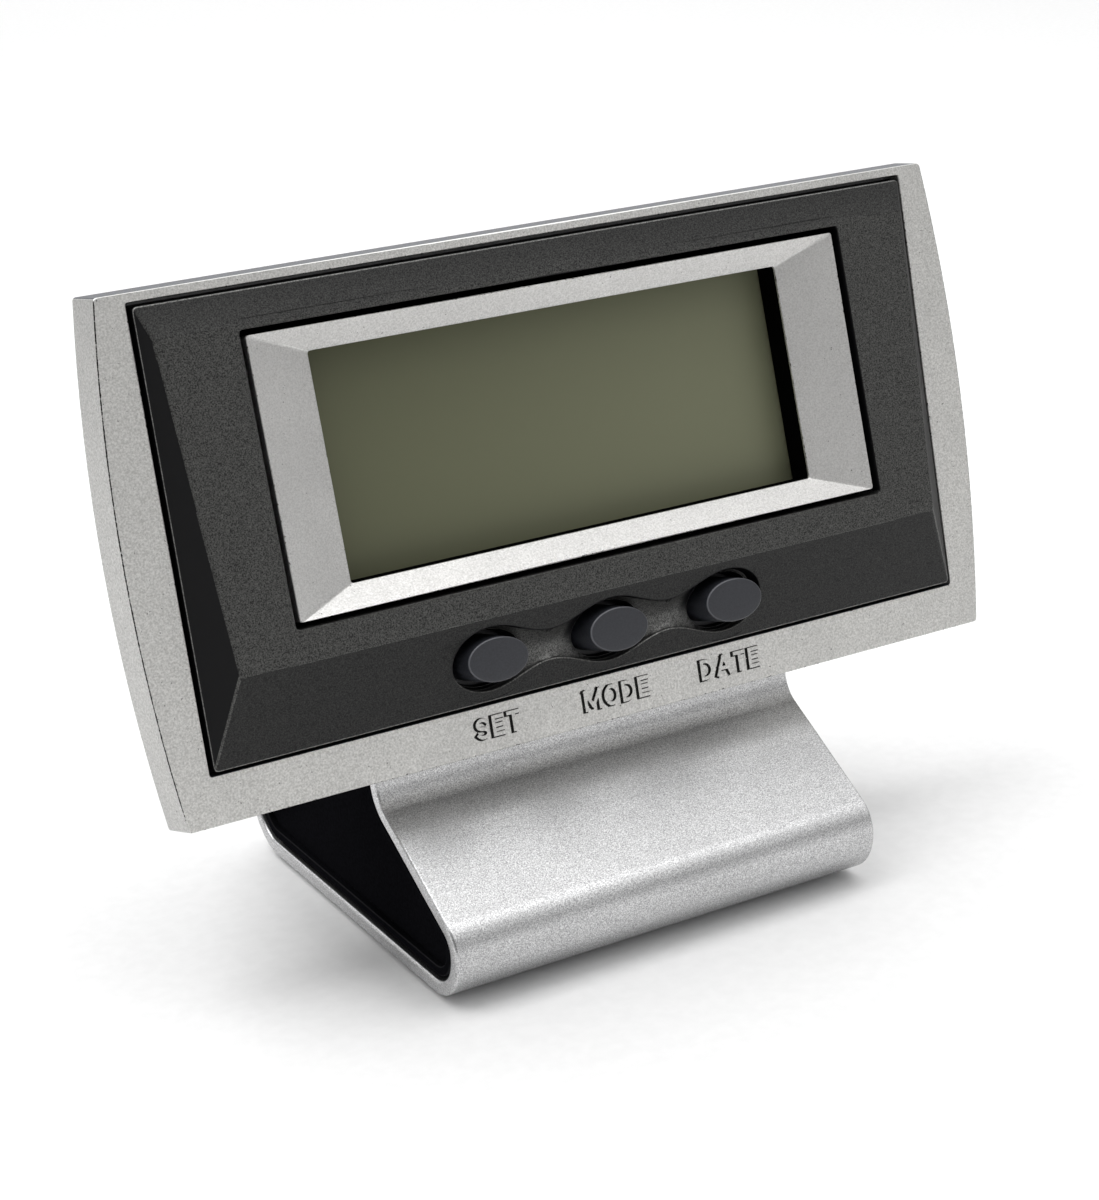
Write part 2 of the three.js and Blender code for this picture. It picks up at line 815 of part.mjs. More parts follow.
function rearCover() {
  const lipFront = flangeBack + seatGap;
  const lipBack = coverFront + coverWall;
  const lip = cut(
    coverLipRing(0, lipFront, lipBack),
    coverLipRing(coverLip, lipFront - overrun, lipBack + overrun),
  );
  const outer = loft(coverRings(0, coverFront));
  const hollow = loft(coverRings(coverWall, coverFront - overrun));
  const bayHalf = doorHalf + bayWall;
  const bay = box(
    cellX - bayHalf,
    cellX + bayHalf,
    bayFloorFront,
    doorInside,
    doorBottom - bayWall,
    doorTop + bayWall,
  );
  const posts = [];
  const bores = [];
  for (const side of [-1, 1])
    for (const z of caseScrewZ) {
      const x = side * caseScrewX;
      posts.push(common(rod(postRadius, caseBossBack + seatGap, coverDepth, x, z), outer));
      bores.push(rod(sinkRadius, coverDepth - screwSink, coverDepth + overrun, x, z, 24));
      bores.push(rod(holeRadius, caseBossBack, coverDepth, x, z, 24));
    }
  const leafX = cellX + pocketRadius;
  const seats = [
    rod(pocketRadius, bayFloorBack, coverDepth, cellX, cellZ, 48),
    box(
      leafX - screwGap - contactSheet,
      leafX + contactSheet + seatGap,
      bayFloorFront - overrun,
      coverDepth,
      cellZ - leafWidth / 2 - seatGap,
      cellZ + leafWidth / 2 + seatGap,
    ),
    box(
      springX - seatGap,
      springX + contactSheet + seatGap,
      bayFloorFront - overrun,
      bayFloorBack + overrun,
      cellZ - springWidth / 2 - seatGap,
      cellZ + springWidth / 2 + seatGap,
    ),
    box(
      cellX - doorHalf - seatGap,
      cellX + doorHalf + seatGap,
      doorInside - seatGap,
      coverDepth + overrun,
      doorBottom - seatGap,
      doorTop + seatGap,
    ),
    hinge(doorPinRadius + pinGap, doorHalf + doorPinLength + pinGap),
    box(
      cellX - tongueWidth / 2 - seatGap,
      cellX + tongueWidth / 2 + seatGap,
      doorInside,
      coverDepth + overrun,
      doorTop,
      doorTop + tongueReach + seatGap,
    ),
    box(
      -standWidth / 2 - seatGap,
      standWidth / 2 + seatGap,
      neckDepth - seatGap,
      neckDepth + stripThickness + seatGap,
      faceBottom - overrun,
      neckEntry + seatGap,
    ),
  ];
  const standHoles = standScrewX.map((x) =>
    upright(holeRadius, coverUnderside - overrun, coverUndersideInner + overrun, x, standScrewDepth),
  );
  return cut(join(cut(outer, hollow), lip, bay, ...posts), ...seats, ...standHoles, ...bores);
}

// Cell door: turns on two pins along its lower edge, with a finger tongue at its upper edge

function hinge(radius, half) {
  return new THREE.CylinderGeometry(radius, radius, 2 * half, 24)
    .rotateZ(Math.PI / 2)
    .translate(cellX, doorPivotY, doorPivotZ);
}

function batteryDoor() {
  const plate = box(cellX - doorHalf, cellX + doorHalf, doorInside, coverDepth, doorPivotZ, doorTop);
  const knuckle = hinge(doorThickness / 2, doorHalf);
  const pins = hinge(doorPinRadius, doorHalf + doorPinLength);
  const tongue = box(
    cellX - tongueWidth / 2,
    cellX + tongueWidth / 2,
    doorInside + seatGap,
    coverDepth,
    doorTop - overrun,
    doorTop + tongueReach,
  );
  const grips = [2, 3, 4].map((i) =>
    box(
      cellX - gripWidth / 2,
      cellX + gripWidth / 2,
      coverDepth - gripDepth,
      coverDepth + overrun,
      doorTop - i * gripPitch,
      doorTop - (i - 0.5) * gripPitch,
    ),
  );
  return cut(join(plate, knuckle, pins, tongue), ...grips);
}

function buttonCell() {
  const capRadius = cellRadius - 0.9;
  return turned(
    [
      [0, 0],
      [capRadius - 0.3, 0],
      [capRadius, 0.25],
      [capRadius, 0.5],
      [cellRadius - 0.35, 0.5],
      [cellRadius, 0.85],
      [cellRadius, cellThickness - 0.25],
      [cellRadius - 0.25, cellThickness],
      [0, cellThickness],
    ],
    1,
    48,
  );
}

function contactNegative() {
  const back = cellFront - contactGap;
  const z0 = cellZ - springWidth / 2;
  const z1 = cellZ + springWidth / 2;
  return join(
    box(springX, springX + springLength, back - contactSheet, back, z0, z1),
    box(springX, springX + contactSheet, bayFloorFront, back, z0, z1),
  );
}

function contactPositive() {
  const x = cellX + pocketRadius;
  const middle = (cellFront + cellBack) / 2;
  return join(
    box(
      x,
      x + contactSheet,
      bayFloorFront,
      cellBack - springRoom,
      cellZ - leafWidth / 2,
      cellZ + leafWidth / 2,
    ),
    box(x - dimpleHeight, x + contactSheet / 2, middle - 0.5, middle + 0.5, cellZ - 1, cellZ + 1),
  );
}

// Stand: one strip bent from the head's underside down the front slope, round the roll,
// back along the table and up at the rear. The path follows its outer surface, or runs an
// inset inside it.

function stripPath(inset, arcStep = 9) {
  const bends = [
    { radius: rearRadius + stripThickness, turn: -rearTurn },
    { line: baseLength },
    { radius: rollRadiusLower + stripThickness, turn: -90 },
    { radius: rollRadiusUpper + stripThickness, turn: slopeAngle - 90 },
    { line: slopeLength },
    { radius: neckRadius, turn: 90 - faceTilt - slopeAngle },
    { line: neckLength },
  ];
  const toRight = (h) => new THREE.Vector2(Math.sin(rad(h)), -Math.cos(rad(h)));
  let heading = 180 + rearTurn;
  const rise = bends[0].radius * (1 - Math.cos(rad(rearTurn)));
  const at = new THREE.Vector2(0, rise).addScaledVector(toRight(heading), inset);
  const points = [at.clone()];
  for (const bend of bends) {
    if (bend.line) {
      at.add(new THREE.Vector2(Math.cos(rad(heading)), Math.sin(rad(heading))).multiplyScalar(bend.line));
      points.push(at.clone());
      continue;
    }
    const sign = Math.sign(bend.turn);
    const reach = sign * bend.radius + inset;
    const centre = at.clone().addScaledVector(toRight(heading), -reach);
    const steps = Math.ceil(Math.abs(bend.turn) / arcStep);
    for (let i = 1; i <= steps; i++)
      points.push(centre.clone().addScaledVector(toRight(heading + (bend.turn * i) / steps), reach));
    heading += bend.turn;
    at.copy(points.at(-1));
  }
  return points;
}

const stripOuter = stripPath(0);
const stripTop = stripOuter.at(-1);

// The head hangs on the strip's upper end: head depths and heights to the stand's Y and Z.
const faceUp = new THREE.Vector2(Math.sin(rad(faceTilt)), Math.cos(rad(faceTilt)));
const faceBack = new THREE.Vector2(Math.cos(rad(faceTilt)), -Math.sin(rad(faceTilt)));
const fromPoint = (from, y, z) => from.clone().addScaledVector(faceBack, y).addScaledVector(faceUp, z);
const headOrigin = fromPoint(stripTop, -neckDepth, -neckEntry);
const headPoint = (y, z) => fromPoint(headOrigin, y, z);

const standScrewX = [-standScrewSpacing / 2, standScrewSpacing / 2];
const coverUnderside = faceBottom - frameFlareZ + coverTaper[0].below;
const coverUndersideInner = coverUnderside + coverWall + seatGap;
const coreTop = coverUnderside - seatGap;
const footScrewX = [-footScrewSpacing / 2, footScrewSpacing / 2];
const footScrewY = -((rearRadius + stripThickness) * Math.sin(rad(rearTurn)) + baseLength / 2);

function standShell() {
  const strip = sideSlab([...stripOuter, ...stripPath(stripThickness).reverse()], standWidth / 2);
  const holes = footScrewX.map((x) =>
    upright(holeRadius, -overrun, stripThickness + overrun, x, footScrewY),
  );
  const sinks = footScrewX.map((x) => upright(sinkRadius, -overrun, footScrewSink, x, footScrewY));
  return cut(strip, ...holes, ...sinks);
}

// The black core fills the bend of the strip: bounded below and in front by the strip,
// above by the head and behind by a hollowed slope, all moved in evenly by an inset.

function coreSlab(inset, half) {
  const inside = stripPath(stripThickness + seatGap + inset);
  const foot = stripPath(stripThickness)[0];
  const top = headPoint(coverDepth - coreSetback, coreTop);
  const bend = top.clone().add(foot).divideScalar(2).sub(new THREE.Vector2(0, coreRearSag));
  const slope = new THREE.QuadraticBezierCurve(top, bend, foot);
  const steps = 8;
  const rear = [];
  for (let i = 0; i <= steps; i++) {
    const along = slope.getTangent(i / steps);
    rear.push(slope.getPoint(i / steps).addScaledVector(new THREE.Vector2(along.y, -along.x), inset));
  }
  const withinStrip = sideSlab([...inside, new THREE.Vector2(inside[0].x, top.y)], half);
  const front = headPoint(-coverDepth, coreTop - inset);
  const underHead = sideSlab(
    [
      front,
      headPoint(coverDepth - coreSetback - inset, coreTop - inset),
      ...rear.slice(1),
      new THREE.Vector2(foot.x + overrun, rear.at(-1).y - overrun),
      new THREE.Vector2(foot.x + overrun, -overrun),
      new THREE.Vector2(front.x, -overrun),
    ],
    half + overrun,
  );
  return common(withinStrip, underHead);
}

// A rod in line with the screws between head and stand, between two head heights.
function headRod(radius, z0, z1, x) {
  const middle = headPoint(standScrewDepth, (z0 + z1) / 2);
  return new THREE.CylinderGeometry(radius, radius, z1 - z0, 24)
    .rotateX(Math.PI / 2 - rad(faceTilt))
    .translate(x, middle.x, middle.y);
}

function standCore() {
  const half = standWidth / 2;
  const panelHalf = half - corePanelInset;
  const hollowHalf = panelHalf - coreWall;
  const floor = stripThickness + seatGap;
  const rim = cut(coreSlab(0, half - coreRimInset), coreSlab(coreRim, half));
  const openings = [-1, 1].map((side) => {
    const y = footScrewY + side * coreOpeningOffset;
    const reach = coreOpening / 2;
    return box(-hollowHalf, hollowHalf, y - reach, y + reach, 0, floor + coreWall + overrun);
  });
  const skin = coreWall / 3; // posts stop this far short of the outside
  const inner = coreSlab(skin, panelHalf - skin);
  const tall = headPoint(0, coreTop).y;
  const bite = standScrewBite + overrun;
  const posts = [
    ...footScrewX.map((x) => upright(corePostRadius, 0, tall, x, footScrewY)),
    ...standScrewX.map((x) => headRod(corePostRadius, coreTop - bite - 2 * coreWall, coreTop + overrun, x)),
  ].map((post) => common(post, inner));
  const bores = [
    ...footScrewX.map((x) => upright(holeRadius, 0, footScrewLength + 2 * overrun, x, footScrewY)),
    ...standScrewX.map((x) => headRod(holeRadius, coreTop - bite, coreTop + overrun, x)),
  ];
  const shell = cut(join(coreSlab(0, panelHalf), rim), coreSlab(coreWall, hollowHalf), ...openings);
  return cut(join(shell, ...posts), ...bores);
}

// Assembly

const stand = new THREE.Group();
stand.add(piece("stand_shell", standShell(), anodisedStrip));
stand.add(piece("stand_core", standCore(), blackPlastic));
stand.add(
  piece(
    "base_pad",
    box(
      -padWidth / 2,
      padWidth / 2,
      footScrewY - padLength / 2,
      footScrewY + padLength / 2,
      -padThickness - bondGap,
      -bondGap,
    ),
    padRubber,
  ),
);
footScrewX.forEach((x, i) => {
  const made = piece(
    `foot_screw_${i + 1}`,
    screw(footScrewLength, footHeadHeight),
    screwSteel,
    footScrewY,
    x,
    footScrewSink - screwLift,
  );
  made.rotation.x = -Math.PI / 2;
  stand.add(made);
});

const head = new THREE.Group();
head.position.set(0, headOrigin.x, headOrigin.y);
head.rotation.x = -rad(faceTilt);
head.add(piece("front_frame", frontFrame(), silverPaint));
head.add(piece("bezel", bezel(), charcoalPaint));
head.add(piece("rear_cover", rearCover(), blackPlastic));
head.add(piece("battery_door", batteryDoor(), blackPlastic));
head.add(piece("button_cell", buttonCell(), contactSteel, cellFront, cellX, cellZ));
head.add(piece("battery_contact_negative", contactNegative(), contactSteel));
head.add(piece("battery_contact_positive", contactPositive(), contactSteel));
const caseScrewSeat = coverDepth - screwSink + screwLift;
[-1, 1].forEach((side, column) =>
  caseScrewZ.forEach((z, row) => {
    const name = `case_screw_${2 * column + row + 1}`;
    const length = caseScrewSeat - flangeBack;
    head.add(piece(name, screw(length), screwSteel, caseScrewSeat, side * caseScrewX, z));
  }),
);
standScrewX.forEach((x, i) => {
  const made = piece(
    `stand_screw_${i + 1}`,
    screw(coverUndersideInner - coreTop + standScrewBite),
    screwSteel,
    standScrewDepth,
    x,
    coverUndersideInner,
  );
  made.rotation.x = Math.PI / 2;
  head.add(made);
});

const module = new THREE.Group();
module.applyMatrix4(display);
head.add(module);
module.add(piece("lcd_frame", lcdFrame(), silverPaint));
module.add(piece("lcd_mask", lcdMask(), blackPlastic));
module.add(
  piece(
    "lcd_front_glass",
    slab(rectangle(glassHalf, glassBottom, glassTop), displayDepth, glassBack),
    displayGlass,
  ),
);
const innerBottom = glassBottom + contactLedge;
const innerTop = glassTop - contactLedge;
module.add(
  piece(
    "lcd_rear_glass",
    slab(rectangle(glassHalf, innerBottom, innerTop), glassBack + bondGap, rearGlassBack),
    displayGlass,
  ),
);
const foilFront = rearGlassBack + bondGap;
module.add(
  piece(
    "lcd_reflector",
    slab(
      rectangle(glassHalf - seatGap, innerBottom + seatGap, innerTop - seatGap),
      foilFront,
      foilFront + reflectorThickness,
    ),
    reflectorFoil,
  ),
);
const zebraFront = glassBack + bondGap;
const zebraHalf = glassHalf - contactLedge;
for (const [name, z] of [
  ["zebra_strip_lower", glassBottom],
  ["zebra_strip_upper", innerTop + seatGap],
])
  module.add(
    piece(
      name,
      slab(rectangle(zebraHalf, z, z + contactLedge - seatGap), zebraFront, zebraFront + zebraHeight),
      zebraRubber,
    ),
  );
module.add(piece("circuit_board", board(), boardResin));
module.add(
  piece(
    "chip_blob",
    turned([
      [0, 0],
      ...[0, 18, 36, 54, 72].map((a) => [chipRadius * Math.cos(rad(a)), chipHeight * Math.sin(rad(a))]),
      [0, chipHeight],
    ]),
    chipResin,
    boardBack + bondGap,
    chipX,
    (glassBottom + glassTop) / 2,
  ),
);
const crystal = new THREE.CylinderGeometry(crystalRadius, crystalRadius, crystalLength, 24);
crystal.rotateZ(Math.PI / 2).translate(0, boardBack + bondGap + crystalRadius, 0);
module.add(piece("quartz_crystal", crystal, contactSteel, 0, crystalX, innerBottom));
[0, 1].forEach((i) =>
  module.add(
    piece(
      `capacitor_${i + 1}`,
      box(
        -capacitorLength / 2,
        capacitorLength / 2,
        0,
        capacitorHeight,
        -capacitorWidth / 2,
        capacitorWidth / 2,
      ),
      ceramic,
      boardBack + bondGap,
      capacitorX,
      innerBottom + (i + 1.5) * capacitorPitch,
    ),
  ),
);
module.add(piece("keypad", keypad(), siliconeRubber));
for (const k of keys) {
  module.add(piece(`${k.name}_button`, keyCap(), keyRubber, 0, k.x, keyLevel));
  module.add(piece(`${k.name}_contact_pill`, contactPill(), zebraRubber, 0, k.x, keyLevel));
}
[-1, 1].forEach((side, i) =>
  module.add(
    piece(
      `board_screw_${i + 1}`,
      screw(boardBack - lcdFrameDepth),
      screwSteel,
      boardBack + screwLift,
      side * boardScrewX,
      boardScrewZ,
    ),
  ),
);

// The origin is at the middle of the box, on the table.
const clock = new THREE.Group();
clock.add(stand, head);
clock.updateMatrixWorld(true);
const bounds = new THREE.Box3().setFromObject(clock, true);
clock.position.set(0, -(bounds.min.y + bounds.max.y) / 2, -bounds.min.z);

export default clock;
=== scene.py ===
# Looks of a small digital desk clock with calendar: a tilted head on a bent metal strip.
import math

import bmesh
import bpy
from mathutils import Matrix, Vector
from mathutils.geometry import delaunay_2d_cdt, intersect_line_line_2d


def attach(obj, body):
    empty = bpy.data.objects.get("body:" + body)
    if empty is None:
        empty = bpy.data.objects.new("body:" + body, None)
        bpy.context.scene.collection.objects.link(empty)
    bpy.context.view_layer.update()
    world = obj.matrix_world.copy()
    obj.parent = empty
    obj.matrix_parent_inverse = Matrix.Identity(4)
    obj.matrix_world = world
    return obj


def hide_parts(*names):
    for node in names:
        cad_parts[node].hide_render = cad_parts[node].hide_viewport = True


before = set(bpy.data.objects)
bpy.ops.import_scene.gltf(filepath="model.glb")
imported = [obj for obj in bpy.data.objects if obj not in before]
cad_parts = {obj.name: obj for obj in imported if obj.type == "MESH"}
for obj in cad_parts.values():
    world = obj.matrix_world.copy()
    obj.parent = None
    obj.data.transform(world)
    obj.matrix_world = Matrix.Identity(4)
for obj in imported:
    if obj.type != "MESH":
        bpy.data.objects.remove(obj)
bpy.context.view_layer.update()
mm = 0.001
print("frame loaded with", len(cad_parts), "nodes")

# Shapes are drawn in millimetres, each in one of three places: the stand, the head (x, depth
# behind the face, height over the window's lower edge) and the raised plane round the display.
places = {
    "stand": (0, 21.32, 0.45),
    "head": (0, -11.546, 23.042),
    "tilt": 12,
    "planeRise": 3.34,
    "planeLean": 3.2,
}


def turnedBack(degrees):
    return Matrix.Rotation(math.radians(-degrees), 4, "X")


onStand = Matrix.Translation(places["stand"])
onHead = Matrix.Translation(places["head"]) @ turnedBack(places["tilt"])
planeInHead = Matrix.Translation((0, -places["planeRise"], 0)) @ turnedBack(places["planeLean"])
onPlane = onHead @ planeInHead


# Meshes


def meshFrom(name, points, faces, place, edges=()):
    mesh = bpy.data.meshes.new(name)
    mesh.from_pydata([(place @ Vector(p)) * mm for p in points], edges, faces)
    return mesh


def marked(mesh, name, domain, values):
    # Numbers that a material reads from the piece, one for each of its points, corners or faces.
    mesh.attributes.new(name, "FLOAT", domain).data.foreach_set("value", values)


def newObject(name, mesh):
    made = bpy.data.objects.new(name, mesh)
    bpy.context.scene.collection.objects.link(made)
    return made


def cleaned(mesh, outward=False, closeness=0.002):
    # Double points merged, slivers gone; a closed mesh can have its faces turned outwards.
    work = bmesh.new()
    work.from_mesh(mesh)
    bmesh.ops.remove_doubles(work, verts=work.verts, dist=closeness * mm)
    bmesh.ops.dissolve_degenerate(work, edges=work.edges, dist=closeness * mm)
    if outward:
        bmesh.ops.recalc_face_normals(work, faces=work.faces)
    work.to_mesh(mesh)
    work.free()
    return mesh


def applied(made):
    # The finished mesh takes the place of the first one, so no modifier stays.
    bpy.context.view_layer.update()
    graph = bpy.context.evaluated_depsgraph_get()
    plain = bpy.data.meshes.new_from_object(made.evaluated_get(graph))
    made.modifiers.clear()
    made.data = plain
    return made


def smoothed(made, angle=35):
    made.data.shade_smooth()
    made.data.set_sharp_from_angle(angle=math.radians(angle))
    shading = made.modifiers.new("shading", "WEIGHTED_NORMAL")
    shading.keep_sharp = True
    return made


def beveled(made, width, segments, angle):
    rounding = made.modifiers.new("rounding", "BEVEL")
    rounding.width = width * mm
    rounding.segments = segments
    rounding.limit_method = "ANGLE"
    rounding.angle_limit = math.radians(angle)
    return made


def walled(made, thickness):
    wall = made.modifiers.new("wall", "SOLIDIFY")
    wall.thickness = thickness * mm
    wall.offset = -1
    return applied(made)


def booleaned(made, other, operation):
    change = made.modifiers.new("change", "BOOLEAN")
    change.operation = operation
    change.solver = "EXACT"
    change.object = other
    applied(made)
    bpy.data.objects.remove(other)
    return made


def finished(made, body, material, nodes):
    made.data.materials.clear()
    made.data.materials.append(material)
    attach(made, body)
    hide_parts(*nodes)
    print("made", made.name, "with", len(made.data.polygons), "faces")


def rounded(sides, radius, steps):
    # A closed outline from its sides, each a list of points, with the corners between rounded.
    def reach(side, after):
        turn = (side[-1] - side[-2]).angle(after[1] - after[0])
        return radius * math.tan(turn / 2)

    outline = []
    for i, side in enumerate(sides):
        before = sides[i - 1]
        after = sides[(i + 1) % len(sides)]
        start = side[0] + (side[1] - side[0]).normalized() * reach(before, side)
        end = side[-1] + (side[-2] - side[-1]).normalized() * reach(side, after)
        out = side[-1] + (after[1] - after[0]).normalized() * reach(side, after)
        outline += [start, *side[1:-1], end]
        for step in range(1, steps):
            t = step / steps
            outline.append(end * (1 - t) ** 2 + side[-1] * (2 * t * (1 - t)) + out * t**2)
    return outline


def divided(a, b, count):
    return [a.lerp(b, i / count) for i in range(count + 1)]


sidePoints = 16  # pieces along each side of an outline


def rectangle(half, z0, z1, radius, topHalf=None, steps=4):
    # Anticlockwise from the front, starting at the lower left.
    top = topHalf or half
    corners = [Vector(c) for c in ((-half, z0), (half, z0), (top, z1), (-top, z1))]
    sides = [divided(corners[i], corners[(i + 1) % 4], sidePoints) for i in range(4)]
    return rounded(sides, radius, steps)


faceShape = {"half": 42.05, "bottom": -4.15, "top": 39.6, "bow": 1.5}


def faceOutline(side, below, above, radius=0.35, steps=4):
    # Flat above and below, each side bowed out; the three values move the edges inwards.
    z0 = faceShape["bottom"] + below
    z1 = faceShape["top"] - above
    chord = (z1 - z0) / 2
    fullChord = (faceShape["top"] - faceShape["bottom"]) / 2
    bow = faceShape["bow"] * (chord / fullChord) ** 2
    bowRadius = (chord**2 + bow**2) / (2 * bow)
    sweep = math.asin(chord / bowRadius)
    centre = Vector((faceShape["half"] - side - bowRadius, (z0 + z1) / 2))
    right = []
    for i in range(sidePoints + 1):
        a = sweep * (2 * i / sidePoints - 1)
        right.append(centre + bowRadius * Vector((math.cos(a), math.sin(a))))
    left = [Vector((-p.x, p.y)) for p in reversed(right)]
    lower = divided(left[-1], right[0], sidePoints)
    upper = divided(right[-1], left[0], sidePoints)
    return rounded([lower, right, upper, left], radius, steps)


def ellipse(halfWidth, halfHeight, x=0, z=0, count=96):
    turns = [2 * math.pi * i / count for i in range(count)]
    return [Vector((x + halfWidth * math.cos(a), z + halfHeight * math.sin(a))) for a in turns]


def atDepth(outline, depth, place=None):
    points = [Vector((p[0], depth, p[1])) for p in outline]
    return [place @ p for p in points] if place else points


def filleted(rings, radii, steps=3):
    # Each ring that has a radius turns into the rings of a fillet between its neighbours.
    # Comes back with a mark for each ring: 1 inside a fillet, 0 elsewhere.
    flattest = 0.05  # keeps the reach finite where a ring hardly turns
    edgeShare = 0.45  # the most of an edge that one fillet takes
    made = []
    for k, (ring, radius) in enumerate(zip(rings, radii)):
        if not radius:
            made.append((ring, 0))
            continue
        arcs = [[] for _ in range(steps + 1)]
        for p, before, after in zip(ring, rings[k - 1], rings[(k + 1) % len(rings)]):
            back = before - p
            on = after - p
            half = back.angle(on, math.pi) / 2
            reach = radius / max(math.tan(half), flattest)
            reach = min(reach, back.length * edgeShare, on.length * edgeShare)
            start = p + back.normalized() * reach
            end = p + on.normalized() * reach
            pull = math.sin(half)
            for i, arc in enumerate(arcs):
                t = i / steps
                weights = ((1 - t) ** 2, 2 * t * (1 - t) * pull, t**2)
                arc.append((start * weights[0] + p * weights[1] + end * weights[2]) / sum(weights))
        made += [(arc, 1 if 0 < i < steps else 0) for i, arc in enumerate(arcs)]
    return [ring for ring, _ in made], [mark for _, mark in made]


class Skin:
    # Points and faces gathered from lofts and patches, with an edge mark on each point.
    def __init__(self):
        self.points = []
        self.marks = []
        self.faces = []

    def loft(self, rings, marks=None, closed=False, skip=None, caps=()):
        # Rings run from the rear or outside to the front or inside, anticlockwise from the front.
        base = len(self.points)
        count = len(rings[0])
        marks = marks or [0] * len(rings)
        for ring, mark in zip(rings, marks):
            self.points += ring
            self.marks += [mark] * count
        for r in range(len(rings) if closed else len(rings) - 1):
            after = (r + 1) % len(rings)
            for i in range(count):
                if skip and skip(r, i):
                    continue
                j = (i + 1) % count
                quad = (r * count + i, r * count + j, after * count + j, after * count + i)
                self.faces.append([base + q for q in quad])
        if "rear" in caps:
            self.faces.append([base + i for i in reversed(range(count))])
        if "front" in caps:
            self.faces.append([base + (len(rings) - 1) * count + i for i in range(count)])

    def patch(self, loops, lift, extra=(), closeness=1e-7):
        # Fills the first loop and leaves the other loops open; lift gives a flat point its depth.
        base = len(self.points)
        flat = [p.to_2d() for loop in loops for p in loop] + list(extra)
        edges = []
        for loop in loops:
            first = len(edges)
            edges += [(first + i, first + (i + 1) % len(loop)) for i in range(len(loop))]
        made = delaunay_2d_cdt(flat, edges, [], 0, closeness)
        self.points += [lift(p) for p in made[0]]
        self.marks += [0] * len(made[0])
        for face in made[2]:
            middle = sum((made[0][i] for i in face), Vector((0, 0))) / 3
            if inside(middle, loops[0]) and not any(inside(middle, hole) for hole in loops[1:]):
                self.faces.append([base + i for i in face])

    def object(self, name, place, outward=False):
        mesh = meshFrom(name, self.points, self.faces, place)
        marked(mesh, "edge", "POINT", [float(m) for m in self.marks])
        return newObject(name, cleaned(mesh, outward))


def inside(point, loop):
    found = False
    for i, b in enumerate(loop):
        a = loop[i - 1]
        if (a[1] > point[1]) != (b[1] > point[1]):
            if point[0] < (b[0] - a[0]) * (point[1] - a[1]) / (b[1] - a[1]) + a[0]:
                found = not found
    return found


# Materials


def linear(colour):
    # sRGB hex to linear.
    out = []
    for i in (1, 3, 5):
        c = int(colour[i : i + 2], 16) / 255
        out.append(c / 12.92 if c <= 0.04045 else ((c + 0.055) / 1.055) ** 2.4)
    return (*out, 1)


def addNode(tree, kind, inputs=None, **settings):
    # Adds a node with its settings, values and links, and gives back its first output.
    node = tree.nodes.new(kind)
    for name, value in settings.items():
        setattr(node, name, value)
    for name, value in (inputs or {}).items():
        named = [s for s in node.inputs if s.enabled and s.name == name]
        socket = named[0] if named else node.inputs[name]
        if isinstance(value, bpy.types.NodeSocket):
            tree.links.new(value, socket)
        else:
            socket.default_value = value
    return next((s for s in node.outputs if s.enabled), node)


def newMaterial(name):
    material = bpy.data.materials.new(name)
    material.use_nodes = True
    tree = material.node_tree
    tree.nodes.clear()
    return material, tree, addNode(tree, "ShaderNodeTexCoord").node.outputs["Object"]


def perMm(size):
    # Scale of a noise whose grains are this many millimetres across.
    return 1 / (size * mm)


def grained(name, dark, light, rough, size, depth, values, detail=3, paint=None):
    # A surface with one even grain: it colours, roughens and raises the surface together.
    material, tree, where = newMaterial(name)
    noise = {"Vector": where, "Scale": perMm(size), "Detail": detail, "Roughness": 0.6}
    noise = addNode(tree, "ShaderNodeTexNoise", noise)
    share = {"Value": noise, "From Min": 0.35, "From Max": 0.65}
    share = addNode(tree, "ShaderNodeMapRange", share)
    colour = {"Factor": share, "A": linear(dark), "B": linear(light)}
    colour = addNode(tree, "ShaderNodeMix", colour, data_type="RGBA")
    swing = 0.06
    polish = {"Value": share, "To Min": rough + swing, "To Max": rough - swing}
    inputs = {
        **values,
        "Base Color": paint(tree, where, colour) if paint else colour,
        "Roughness": addNode(tree, "ShaderNodeMapRange", polish),
        "Normal": addNode(tree, "ShaderNodeBump", {"Height": noise, "Distance": depth * mm, "Strength": 0.7}),
    }
    shader = addNode(tree, "ShaderNodeBsdfPrincipled", inputs)
    addNode(tree, "ShaderNodeOutputMaterial", {"Surface": shader})
    return material


def edgeWearShadeAndHighlight(tree, where, colour):
    # Dark specks where the lacquer is thin: a few anywhere, more on an edge marked 1, and an
    # even dark line where the mark is higher, which on the legends is painted shade. An edge
    # marked -1 gets a painted highlight instead.
    chips = {"Vector": where, "Scale": perMm(0.3), "Detail": 4, "Roughness": 0.65}
    chips = addNode(tree, "ShaderNodeTexNoise", chips)
    mark = addNode(tree, "ShaderNodeAttribute", attribute_name="edge").node.outputs["Fac"]
    worn = addNode(tree, "ShaderNodeMath", {0: mark, 1: 0.1, 2: chips}, operation="MULTIPLY_ADD")
    worn = addNode(tree, "ShaderNodeMapRange", {"Value": worn, "From Min": 0.66, "From Max": 0.72})
    colour = {"Factor": worn, "A": colour, "B": linear("#1c1b1a")}
    colour = addNode(tree, "ShaderNodeMix", colour, data_type="RGBA")
    paintedHighlightShare = addNode(tree, "ShaderNodeMath", {0: mark, 1: -1.0}, operation="MULTIPLY", use_clamp=True)
    colour = {"Factor": paintedHighlightShare, "A": colour, "B": linear("#fafaf8")}
    return addNode(tree, "ShaderNodeMix", colour, data_type="RGBA")


